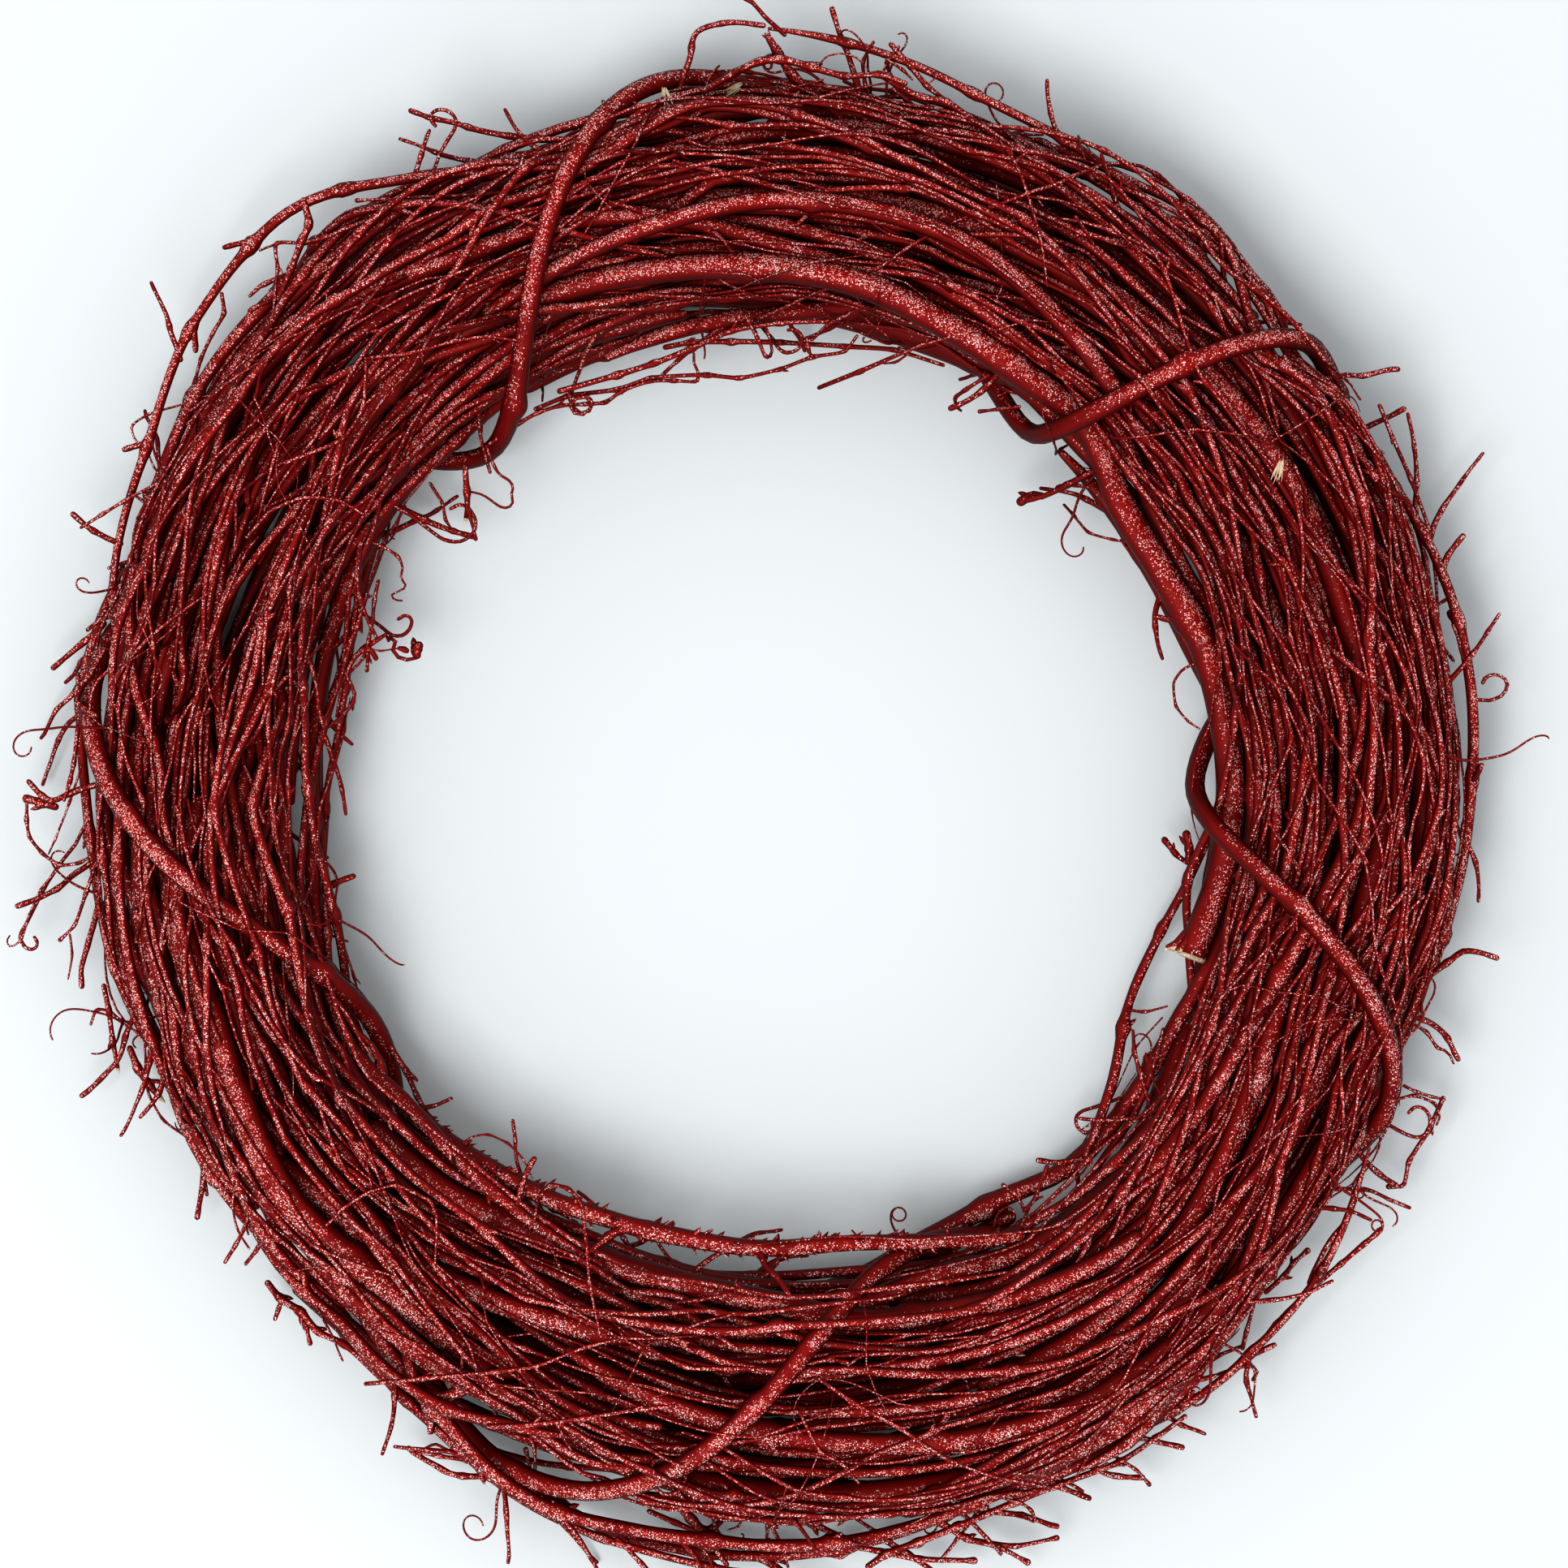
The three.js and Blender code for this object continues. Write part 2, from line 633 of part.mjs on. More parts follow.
// A place on a cane, a number of stations from its start
function placeOnCane(cane, stationsAlong) {
  const i = Math.min(cane.span - 1, Math.floor(stationsAlong));
  const share = stationsAlong - i;
  const from = cane.row[i];
  const to = cane.row[i + 1];
  return {
    at: from.clone().lerp(to, share),
    way: to.clone().sub(from).normalize(),
    girth: cane.girths[i] * (1 - share) + cane.girths[i + 1] * share,
  };
}

function outwardFrom(point) {
  const angle = Math.atan2(point.y, point.x);
  const out = (Math.hypot(point.x, point.y) - centreRadius(angle)) / bundleHalfWidth;
  const up = (point.z - bundleHeight) / bundleHalfHeight;
  return new THREE.Vector3(out * Math.cos(angle), out * Math.sin(angle), up).normalize();
}

function drawnTwig(cane, draw) {
  const { at, way, girth } = placeOnCane(cane, between(draw, twigRoots) * cane.span);
  const outward = outwardFrom(at);
  const side = new THREE.Vector3().crossVectors(way, outward);
  const lean = between(draw, twigLean) * degree;
  const tipLean = between(draw, twigTipLean) * degree;
  const skew = between(draw, twigSkew);
  const length = between(draw, twigLength);
  const forward = draw() < twigsForward ? 1 : -1;
  const thick = Math.min(between(draw, twigRadius), rootShare * girth);
  const points = [at];
  for (let j = 0; j < twigSteps; j++) {
    const turn = lean + ((tipLean - lean) * j) / (twigSteps - 1);
    const heading = way.clone().multiplyScalar(forward * Math.cos(turn));
    heading.addScaledVector(outward, Math.sin(turn)).addScaledVector(side, skew * Math.sin(turn)).normalize();
    points.push(points[j].clone().addScaledVector(heading, length / twigSteps));
  }
  return { points, radii: points.map((_, j) => thick + (twigTip - thick) * (j / twigSteps)) };
}

function addTwig(cane, { points, radii }, stems) {
  cane.grown.push({ points, radii });
  stems.push(...stemPieces(null, points, radii));
}

// A twig shows where its tip leaves the bundle at the sides or on top
function tipShows(point) {
  const angle = Math.atan2(point.y, point.x);
  const out = Math.hypot(point.x, point.y) - centreRadius(angle);
  return Math.abs(out) > halfWidth(angle) - edgeBand || point.z > bundleHeight + bundleHalfHeight - edgeBand;
}

function growTwigs(cane, draw, stems) {
  for (let n = 0; n < cane.twigs; n++) {
    for (let attempt = 0; attempt < twigAttempts; attempt++) {
      const twig = drawnTwig(cane, draw);
      if (!tipShows(twig.points[twigSteps]) || !hasRoom(twig.points, twig.radii, cane, stems)) continue;
      addTwig(cane, twig, stems);
      break;
    }
  }
}

function spotAt(at, away, height) {
  return new THREE.Vector3(away * Math.cos(at * degree), away * Math.sin(at * degree), height);
}

// Places near the listed root where a stray twig could grow, the nearest first
function strayRoots(canes, [at, away], tipHeight) {
  const goal = spotAt(at, away, tipHeight);
  const roots = [];
  for (const cane of canes) {
    for (let n = 0; n < rootsPerStation * (cane.span - 1); n++) {
      const { at: spot, girth } = placeOnCane(cane, (n + 0.5) / rootsPerStation);
      const reach = Math.hypot(spot.x - goal.x, spot.y - goal.y) + rootHeightWeight * Math.abs(spot.z - goal.z);
      if (reach < farthestRoot) roots.push({ cane, spot, girth, reach });
    }
  }
  return roots.sort((a, b) => a.reach - b.reach);
}

function curlPoints(end, heading, radius) {
  const side = new THREE.Vector3(-heading.y, heading.x, 0).normalize();
  const points = [];
  for (let n = 1; n <= curlSteps; n++) {
    const turn = (curlTurn * n) / curlSteps;
    const size = radius * (1 - (curlShrink * n) / curlSteps);
    const spot = end.clone().addScaledVector(side, radius - size * Math.cos(turn));
    spot.addScaledVector(heading, size * Math.sin(turn));
    spot.z += curlRise * radius * (n / curlSteps);
    points.push(spot);
  }
  return points;
}

function strayPath(root, { tip, then, bow = 0, curl }) {
  const end = spotAt(...tip);
  const across = end.clone().sub(root);
  const bend = new THREE.Vector3(-across.y, across.x, 0).setLength(bow || 1e-9);
  const middle = root.clone().lerp(end, 0.5).add(bend);
  const corners = [root, middle, end];
  if (then) corners.push(spotAt(...then));
  const points = new THREE.CatmullRomCurve3(corners).getPoints(twigSteps + (then ? 1 : 0));
  const heading = end.clone().sub(points[twigSteps - 1]).setZ(0).normalize();
  return curl ? [...points, ...curlPoints(end, heading, curl)] : points;
}

function growStray(stray, canes, stems) {
  for (const { cane, spot, girth } of strayRoots(canes, stray.root, stray.tip[2])) {
    const points = strayPath(spot, stray);
    const last = points.length - 1;
    const [thick, thin] = stray.curl ? [tendrilRadius, tendrilRadius] : strayTwigRadius;
    const root = Math.min(stray.radius ?? thick, rootShare * girth);
    const radii = points.map((_, j) => root + (thin - root) * (j / last));
    if (!hasRoom(points, radii, cane, stems)) continue;
    addTwig(cane, { points, radii }, stems);
    return;
  }
  console.log("no room for", JSON.stringify(stray));
}

function growThorns(cane) {
  for (let n = 0; n < thornCount; n++) {
    const { at, way, girth } = placeOnCane(cane, (cane.span * (n + 0.5)) / thornCount);
    const outward = outwardFrom(at);
    const side = new THREE.Vector3().crossVectors(way, outward);
    const turn = thornSpread * ((n % 3) - 1);
    const heading = outward.multiplyScalar(Math.cos(turn)).addScaledVector(side, Math.sin(turn));
    heading.addScaledVector(way, thornSlant);
    const tip = at.clone().addScaledVector(heading.normalize(), girth + thornHeight);
    cane.grown.push({ points: [at, tip], radii: [thornBase, thornTip], sides: thornSides });
  }
}

// What lies below the surface, which wears the binding vine's underside flat
function underFloor() {
  const span = 4 * ringRadius;
  const depth = 2 * bindingRadius;
  const geometry = new THREE.BoxGeometry(span, span, depth).translate(0, 0, -depth / 2);
  geometry.deleteAttribute("normal");
  geometry.deleteAttribute("uv");
  return mergeVertices(geometry);
}

function caneSolid(cane) {
  const stem = solidOf(tubeGeometry(cane.row, cane.girths, cane.sides));
  return cane.grown.reduce((solid, { points, radii, sides = twigSides }) => {
    return solid.add(solidOf(tubeGeometry(points, radii, sides)));
  }, stem);
}

// The wreath

const bark = new THREE.MeshStandardMaterial({ color: "#7a1a1c", roughness: 0.55, metalness: 0 });

function meshOf(name, solid) {
  const mesh = new THREE.Mesh(geometryOf(solid), bark.clone());
  mesh.name = name;
  return mesh;
}

const caneDraw = drawStream(caneSeed);
const twigDraw = drawStream(twigSeed);
const canes = placedCanes.map(placedCane);
for (const family of caneFamilies)
  for (let n = 1; n <= family.count; n++)
    canes.push(drawnCane(`${family.name}_${String(n).padStart(2, "0")}`, family, caneDraw));
for (const cane of canes) {
  cane.out.set(cane.aimOut);
  cane.up.set(cane.aimUp);
}

const bindingRow = bindingPlaces().map(({ x, y, z }) => pointAt(x * degree, y, z));
const beads = beadsAlong(bindingRow);
settle(canes, beads);

const bindingRadii = bindingRow.map(() => bindingRadius);
const stems = stemPieces("binding", bindingRow, bindingRadii);
for (const cane of canes) {
  cane.row = worldRow(cane);
  cane.girths = girthRow(cane);
  stems.push(...stemPieces(cane, cane.row, cane.girths));
}
growThorns(canes.find(({ name }) => name === "thorny_cane"));
for (const stray of [...strayTwigs, ...strayTendrils]) growStray(stray, canes, stems);
for (const cane of canes) growTwigs(cane, twigDraw, stems);

const wreath = new THREE.Group();
const binding = solidOf(tubeGeometry(bindingRow, bindingRadii, bindingSides));
wreath.add(meshOf("binding_vine", binding.subtract(solidOf(underFloor()))));
for (const cane of canes) wreath.add(meshOf(cane.name, caneSolid(cane)));

const footprint = new THREE.Box3().setFromObject(wreath);
const middle = footprint.getCenter(new THREE.Vector3());
wreath.position.set(-middle.x, -middle.y, -footprint.min.z);

export default wreath;
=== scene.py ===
import json
import math

import bpy
import numpy as np
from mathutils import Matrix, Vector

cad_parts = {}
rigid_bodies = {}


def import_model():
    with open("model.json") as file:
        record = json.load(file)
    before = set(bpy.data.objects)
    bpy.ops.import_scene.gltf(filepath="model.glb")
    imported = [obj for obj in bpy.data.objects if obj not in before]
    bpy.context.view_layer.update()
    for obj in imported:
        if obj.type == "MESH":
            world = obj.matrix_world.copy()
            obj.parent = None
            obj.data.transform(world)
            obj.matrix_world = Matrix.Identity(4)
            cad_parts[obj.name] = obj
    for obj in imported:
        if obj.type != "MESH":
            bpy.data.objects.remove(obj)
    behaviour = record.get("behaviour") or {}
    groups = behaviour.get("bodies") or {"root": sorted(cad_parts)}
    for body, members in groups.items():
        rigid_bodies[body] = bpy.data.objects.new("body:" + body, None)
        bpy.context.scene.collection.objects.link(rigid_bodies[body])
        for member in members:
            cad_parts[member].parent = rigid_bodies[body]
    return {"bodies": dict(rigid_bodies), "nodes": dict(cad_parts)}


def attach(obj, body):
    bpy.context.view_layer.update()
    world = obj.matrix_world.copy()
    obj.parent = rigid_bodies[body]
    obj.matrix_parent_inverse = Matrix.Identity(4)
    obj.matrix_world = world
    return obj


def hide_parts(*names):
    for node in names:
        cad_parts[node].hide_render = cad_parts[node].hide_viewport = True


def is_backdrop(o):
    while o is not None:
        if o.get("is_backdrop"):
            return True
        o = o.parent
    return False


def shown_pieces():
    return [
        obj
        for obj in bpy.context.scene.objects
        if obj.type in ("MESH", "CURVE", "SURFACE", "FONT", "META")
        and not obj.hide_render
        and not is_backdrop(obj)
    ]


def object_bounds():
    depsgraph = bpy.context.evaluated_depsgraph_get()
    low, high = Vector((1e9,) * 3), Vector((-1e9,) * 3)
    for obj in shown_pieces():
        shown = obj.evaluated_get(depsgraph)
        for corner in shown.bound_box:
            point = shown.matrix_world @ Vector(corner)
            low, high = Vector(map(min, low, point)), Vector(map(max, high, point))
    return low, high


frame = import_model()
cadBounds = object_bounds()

# A grapevine wreath: bare vines coiled into a ring, sprayed red and dusted from above with fine glitter.
# Lengths are in millimetres until a mesh is made.
print("frame loaded, with", len(frame["nodes"]), "pieces of vine")

millimetre = 0.001


# The ring

ring = {
    "radius": 146,  # from the middle of the hole to the middle of the bundle
    "stretch": 0.029,
    "halfWidth": 34,
    "halfHeight": 23,
    "floorRoom": 0.6,
    "radiusChanges": [(300, 17, 5), (341, 14, -4), (238, 20, -3.5)],  # angle, reach each way, change
    "widthChanges": [(200, 33, -6), (268, 15, 5), (320, 9, -7), (68, 10, -3)],
    "stations": 36,
    "clearHole": 97,
    "tallest": 55,
}
bundleHeight = ring["halfHeight"] + ring["floorRoom"]  # of the bundle's centre line
stations = ring["stations"]
stationAngle = 2 * math.pi / stations
degree = math.pi / 180


def withChanges(usual, changes, angle):
    total = usual
    for at, reach, by in changes:
        away = np.arctan2(np.sin(angle - at * degree), np.cos(angle - at * degree))
        total = total + by * np.exp(-((away / (reach * degree)) ** 2))
    return total


def halfWidth(angle):
    return withChanges(ring["halfWidth"], ring["widthChanges"], angle)


def centreRadius(angle):
    usual = ring["radius"] * (1 - ring["stretch"] * np.cos(2 * angle))
    return withChanges(usual, ring["radiusChanges"], angle)


def pointsAt(angle, out, up):  # out from the bundle's centre line and up from it, to a place in the ring
    reach = centreRadius(angle) + out
    return np.stack([reach * np.cos(angle), reach * np.sin(angle), bundleHeight + up], axis=-1)


def placeOf(points):  # the other way: angle, out and up
    angle = np.arctan2(points[..., 1], points[..., 0])
    out = np.hypot(points[..., 0], points[..., 1]) - centreRadius(angle)
    return angle, out, points[..., 2] - bundleHeight


def drawStream(seed):
    state = seed
    while True:
        state = (state * 1664525 + 1013904223) % 2 ** 32
        yield state / 2 ** 32


def between(draw, limits):
    return limits[0] + (limits[1] - limits[0]) * next(draw)


def unit(vector):
    return vector / math.sqrt(float(vector @ vector))


# The canes that the CAD model has. They are grown again here by its own rules, so that each fine cane
# follows the middle of its solid.

growth = {
    "caneSeed": 6,
    "twigSeed": 7,
    "drawnTaper": 0.4,
    "placedTaper": 0.3,
    "drawnHold": 0.02,
    "placedHold": 0.3,
    "drawnDepth": (0.06, 1),
    "drawnSway": (0.1, 0.3),
    "families": [  # name, how many, radius, stations passed, windings, sides of the solid, twigs
        ("thick_cane", 6, (3.3, 4.1), (22, 31), (0.2, 1), 5, 2),
        ("cane", 15, (2.2, 3.0), (20, 32), (0.3, 1.4), 4, 2),
        ("thin_cane", 20, (1.35, 1.9), (15, 31), (0.5, 2), 3, 3),
    ],
}

# Canes with a place of their own. A route's points are an angle, a distance from the axis and a height.
placedCanes = [
    ("cut_end_cane", 4.0, 6, 0, [(131, 143, 30), (113, 138, 37), (96, 134, 42), (80, 132, 43),
        (66, 125, 39), (51, 118, 33), (33, 115, 28), (14, 117, 24), (-1, 114, 21), (-21, 112, 21)]),
    ("upper_smooth_cane", 2.7, 5, 0, [(121, 142, 40), (105, 146, 44), (94, 150, 45), (81, 150, 45),
        (70, 148, 44), (60, 141, 42), (49, 134, 38)]),
    ("lower_thick_cane", 3.6, 5, 0, [(214, 127, 34), (234, 123.5, 32), (254, 122, 32), (265, 123, 34),
        (283, 131, 38), (299, 139, 39), (314, 144, 34)]),
    ("thorny_cane", 2.5, 6, 0, [(210, 124, 22), (221, 120, 27), (237, 115, 33), (250, 111.5, 37),
        (263, 110.5, 38), (275, 112.5, 36), (285, 118, 30), (294, 125, 26), (303, 130, 24)]),
    ("upper_left_stray", 1.5, 4, 3, [(98, 162, 36), (108, 167, 36), (117, 174, 36), (124, 189, 34),
        (130, 195, 32), (138, 191, 29), (147, 181, 28), (156, 181, 25), (165, 175, 20), (176, 166, 18)]),
    ("upper_right_stray", 1.4, 4, 3, [(91, 194, 31), (82, 192, 33), (76, 184, 33), (66, 182, 32),
        (55, 178, 30), (43, 172, 28), (33, 166, 27)]),
    ("lower_right_stray", 1.3, 3, 2, [(-23, 165, 32), (-33, 178, 30), (-45, 187, 25), (-55, 186, 21),
        (-66, 182, 20), (-78, 172, 20)]),
    ("left_stray", 1.4, 3, 3, [(152, 166, 16), (163, 174, 15), (176, 175, 13), (190, 172, 14),
        (204, 169, 17), (218, 160, 20)]),
    ("outer_left_cane", 1.9, 4, 2, [(112, 170, 27), (122, 178, 26), (134, 180, 25), (146, 177, 23),
        (158, 172, 22), (172, 169, 22), (187, 164, 22)]),
    ("bottom_outer_cane", 2.0, 4, 3, [(226, 160, 30), (240, 174, 29), (252, 183, 27), (264, 188, 26),
        (277, 188, 26), (290, 184, 26), (306, 172, 28)]),
    ("bottom_stray_long", 1.7, 4, 3, [(228, 162, 14), (244, 180, 12), (258, 191, 12), (272, 193, 11),
        (284, 188, 13), (300, 174, 16)]),
    ("bottom_stray_short", 1.4, 3, 3, [(226, 166, 28), (240, 176, 25), (252, 186, 21), (263, 194, 18),
        (274, 199, 17)]),
    ("right_stray_outer", 1.6, 4, 3, [(42, 166, 26), (32, 175, 24), (21, 180, 24), (9, 180, 23),
        (-3, 176, 23), (-16, 174, 23), (-28, 164, 23)]),
    ("right_stray_upper", 1.3, 3, 2, [(50, 160, 40), (38, 168, 38), (26, 174, 36), (14, 175, 33),
        (2, 170, 31), (-12, 162, 30)]),
    ("inner_stray", 1.4, 4, 0, [(8, 120, 14), (-8, 109, 11), (-20, 104, 9), (-29, 103, 9), (-38, 113, 12),
        (-51, 124, 15)]),
    ("inner_low_cane", 2.6, 5, 0, [(-90, 128, 17), (-74, 121, 16), (-63, 118, 14), (-52, 120, 13),
        (-40, 119, 13), (-28, 116, 14), (-9, 123, 14)]),
]

# The binding vine crosses the top from the hole's side to the outside: the angles of each crossing
binding = {
    "radius": 2.6,
    "sides": 6,
    "flat": 0.4,
    "pinch": 0.92,
    "turns": [(128, 97), (55, 39), (2, -27), (-70, -112), (-151, -190)],
    "start": 141,
    "end": -207,
    "quarterSteps": 3,
    "beads": 7,  # on each straight piece
}


def bindingRow():
    corners = [(binding["start"], 3)]
    for turn, (inner, outer) in enumerate(binding["turns"]):
        corners += [(inner, 2 - 4 * turn), (outer, -4 * turn)]
    corners.append((binding["end"], 3 - 4 * len(binding["turns"])))
    places = []
    for (angle, quarters), (nextAngle, nextQuarters) in zip(corners, corners[1:]):
        steps = binding["quarterSteps"] * (quarters - nextQuarters)
        shares = np.arange(steps) / steps
        angles = angle + (nextAngle - angle) * shares
        places += zip(angles, quarters - np.arange(steps) / binding["quarterSteps"])
    places.append(corners[-1])
    angle, quarters = np.array(places).T
    phase = quarters * math.pi / 2
    topReach = binding["pinch"] * ring["halfHeight"] + binding["radius"]
    bottomReach = bundleHeight - binding["radius"] + binding["flat"]
    out = (binding["pinch"] * halfWidth(angle * degree) + binding["radius"]) * np.cos(phase)
    up = np.where(np.sin(phase) > 0, topReach, bottomReach) * np.sin(phase)
    return pointsAt(angle * degree, out, up)


def bindingBeads(row, count):  # the binding as a row of beads, each between two of count stations
    shares = np.arange(binding["beads"]) / binding["beads"]
    spots = (row[:-1, None] + shares[None, :, None] * (row[1:] - row[:-1])[:, None]).reshape(-1, 3)
    angle, out, up = placeOf(spots)
    along = (angle / (2 * math.pi / count) + count) % count
    station = np.floor(along).astype(int)
    share = along - station
    straight = count == stations  # the solids run straight from one station to the next
    sag = ring["radius"] * (1 - math.cos(stationAngle / 2)) * 4 * share * (1 - share)
    out = out + sag * straight
    inward = np.stack([-out / halfWidth(angle) ** 2, -up / ring["halfHeight"] ** 2])
    return station, share, out, up, inward / np.hypot(*inward)


def newCane(name, radius, taper, sides, first, span, twigs):
    steps = np.arange(span + 1)
    return {"name": name, "sides": sides, "first": first, "span": span, "twigs": twigs, "grown": [],
            "girths": radius * (1 - taper * (steps / span) ** 2)}


def placedCane(name, radius, sides, twigs, route):
    rising = sorted(route)
    first = math.ceil(rising[0][0] * degree / stationAngle)
    last = math.floor(rising[-1][0] * degree / stationAngle)
    cane = newCane(name, radius, growth["placedTaper"], sides, first, last - first, twigs)
    aims = []
    for k in range(first, last + 1):
        at = k * stationAngle / degree
        after = max(1, next((i for i, point in enumerate(rising) if point[0] >= at), -1))
        low, high = rising[after - 1], rising[after]
        share = (at - low[0]) / (high[0] - low[0])
        aims.append((low[1] + (high[1] - low[1]) * share - centreRadius(k * stationAngle),
                     low[2] + (high[2] - low[2]) * share - bundleHeight))
    cane["aims"] = np.array(aims)
    return dict(cane, hold=growth["placedHold"], confined=False)


def aimsAt(angle, share, turn):  # a place in the bundle, by its turn and its share of the way out
    return np.stack([halfWidth(angle) * share * np.cos(turn), ring["halfHeight"] * share * np.sin(turn)], 1)


def drawnCane(name, family, draw):
    _, _, radii, spans, windings, sides, twigs = family
    radius = between(draw, radii)
    first = math.floor(next(draw) * stations)
    span = math.floor(between(draw, spans) + 0.5)
    cane = newCane(name, radius, growth["drawnTaper"], sides, first, span, twigs)
    phase = 2 * math.pi * next(draw)
    depth = math.sqrt(between(draw, growth["drawnDepth"]))
    twist = between(draw, windings) * (-1 if next(draw) < 0.5 else 1)
    sway = between(draw, growth["drawnSway"])
    swayPhase = 2 * math.pi * next(draw)
    angle = np.arange(first, first + span + 1) * stationAngle
    turn = phase + twist * angle + sway * np.sin(2 * angle + swayPhase)
    share = depth * (1 + 0.5 * sway * np.sin(3 * angle + 2 * swayPhase))
    cane["aims"] = aimsAt(angle, share, turn)
    return dict(cane, hold=growth["drawnHold"], confined=True)


# Settling: the canes start on their routes and part, station by station, until none touch

settling = {"rounds": 300, "tighten": 300, "gap": 0.5, "firstSwell": 0.35, "swellBy": 1.1, "straighten": 0.12,
            "ease": 1.2, "tightenEase": 1.5}


def stationTable(canes, count):  # all canes side by side, one column for each station
    shape = (len(canes), count)
    table = {name: np.zeros(shape) for name in ("out", "up", "aimOut", "aimUp", "girth")}
    table["lives"] = np.zeros(shape, bool)
    table["inner"] = np.zeros(shape, bool)
    for row, cane in enumerate(canes):
        at = (cane["first"] + np.arange(cane["span"] + 1)) % count
        table["aimOut"][row, at], table["aimUp"][row, at] = cane["aims"].T
        table["girth"][row, at] = cane["girths"]
        table["lives"][row, at] = True
        table["inner"][row, at[1:-1]] = True
    table["out"], table["up"] = table["aimOut"].copy(), table["aimUp"].copy()
    table["hold"] = np.array([[cane["hold"]] for cane in canes])
    table["confined"] = np.array([[cane["confined"]] for cane in canes])
    angles = np.arange(count) * 2 * math.pi / count
    table["halfWidth"], table["radius"] = halfWidth(angles), centreRadius(angles)
    return table


def pairPieces(first, second):  # which stretches of which canes run beside each other
    liveFirst = first["lives"] & np.roll(first["lives"], -1, 1)
    liveSecond = second["lives"] & np.roll(second["lives"], -1, 1)
    both = liveFirst[:, None] & liveSecond[None]
    if first is second:
        both &= np.triu(np.ones(both.shape[:2], bool), 1)[:, :, None]
    a, b, k = np.nonzero(both)
    count = first["lives"].shape[1]
    after = (k + 1) % count
    return a * count + k, a * count + after, b * count + k, b * count + after, k


def parting(first, second, pieces, swell):  # the pushes that part them, as where, share and size
    a0, a1, b0, b1, k = pieces
    outA, upA, girthA = (first[name].ravel() for name in ("out", "up", "girth"))
    outB, upB, girthB = (second[name].ravel() for name in ("out", "up", "girth"))
    out0, up0 = outA[a0] - outB[b0], upA[a0] - upB[b0]
    out1, up1 = outA[a1] - outB[b1] - out0, upA[a1] - upB[b1] - up0
    t = np.clip(-(out0 * out1 + up0 * up1) / (out1 * out1 + up1 * up1 + 1e-12), 0, 1)
    out, up = out0 + t * out1, up0 + t * up1
    apart = np.sqrt(out * out + up * up) + 1e-9
    touch = (girthA[a0] + girthB[b0]) * (1 - t) + (girthA[a1] + girthB[b1]) * t + settling["gap"]
    stepLength = 2 * math.pi / len(first["radius"]) * (first["radius"][k] + (outA[a0] + outB[b0]) / 2)
    leanOut = outA[a1] - outA[a0] + outB[b1] - outB[b0]
    leanUp = upA[a1] - upA[a0] + upB[b1] - upB[b0]
    slope = (leanOut * out + leanUp * up) / (2 * apart * stepLength)
    need = touch * swell * np.sqrt(1 + slope * slope)
    hit = (apart < need) & (apart < 2 * touch)
    size = ((need - apart) / (2 * apart * ((1 - t) ** 2 + t * t)))[hit]
    return hit, t[hit], size, out[hit], up[hit]


def applyPushes(table, pushes, ease):
    where = np.concatenate([push[0] for push in pushes])
    share = np.concatenate([push[1] for push in pushes])
    felt = share >= 1e-3
    where, share = where[felt], share[felt]
    moveOut = share * np.concatenate([push[2] for push in pushes])[felt]
    moveUp = share * np.concatenate([push[3] for push in pushes])[felt]
    cells = table["out"].size
    hits = np.maximum(np.bincount(where, minlength=cells), 1)
    table["out"] += (ease * np.bincount(where, moveOut, cells) / hits).reshape(table["out"].shape)
    table["up"] += (ease * np.bincount(where, moveUp, cells) / hits).reshape(table["up"].shape)


def partCanes(table, pieces, swell, ease):
    hit, t, size, out, up = parting(table, table, pieces, swell)
    a0, a1, b0, b1 = (index[hit] for index in pieces[:4])
    applyPushes(table, [(a0, 1 - t, size * out, size * up), (a1, t, size * out, size * up),
                        (b0, 1 - t, -size * out, -size * up), (b1, t, -size * out, -size * up)], ease)


def drawBack(table):  # some of the way back to its route, and straighter
    old = {}
    for name, aim in (("out", "aimOut"), ("up", "aimUp")):
        old[name] = table[name] + table["hold"] * (table[aim] - table[name])
        beside = (np.roll(old[name], 1, 1) + np.roll(old[name], -1, 1)) / 2
        table[name] = old[name] + settling["straighten"] * table["inner"] * (beside - old[name])


def pushOffBinding(table, beads, swell):
    station, t, beadOut, beadUp, (inOut, inUp) = beads
    count = table["lives"].shape[1]
    after = (station + 1) % count
    rows, bead = np.nonzero(table["lives"][:, station] & table["lives"][:, after])
    i0, i1 = rows * count + station[bead], rows * count + after[bead]
    t, inOut, inUp = t[bead], inOut[bead], inUp[bead]
    allOut, allUp, girth = (table[name].ravel() for name in ("out", "up", "girth"))
    out = allOut[i0] * (1 - t) + allOut[i1] * t - beadOut[bead]
    up = allUp[i0] * (1 - t) + allUp[i1] * t - beadUp[bead]
    apart = np.hypot(out, up) + 1e-9
    need = (girth[i0] * (1 - t) + girth[i1] * t + binding["radius"] + settling["gap"]) * swell
    hit = apart < need
    confined = table["confined"][rows, 0]
    wayOut = np.where(confined, inOut, out / apart)
    wayUp = np.where(confined, inUp, up / apart)
    size = np.where(confined, need - out * inOut - up * inUp, need - apart) / ((1 - t) ** 2 + t * t)
    pushes = [(index[hit], share[hit], (size * wayOut)[hit], (size * wayUp)[hit])
              for index, share in ((i0, 1 - t), (i1, t))]
    applyPushes(table, pushes, settling["ease"])


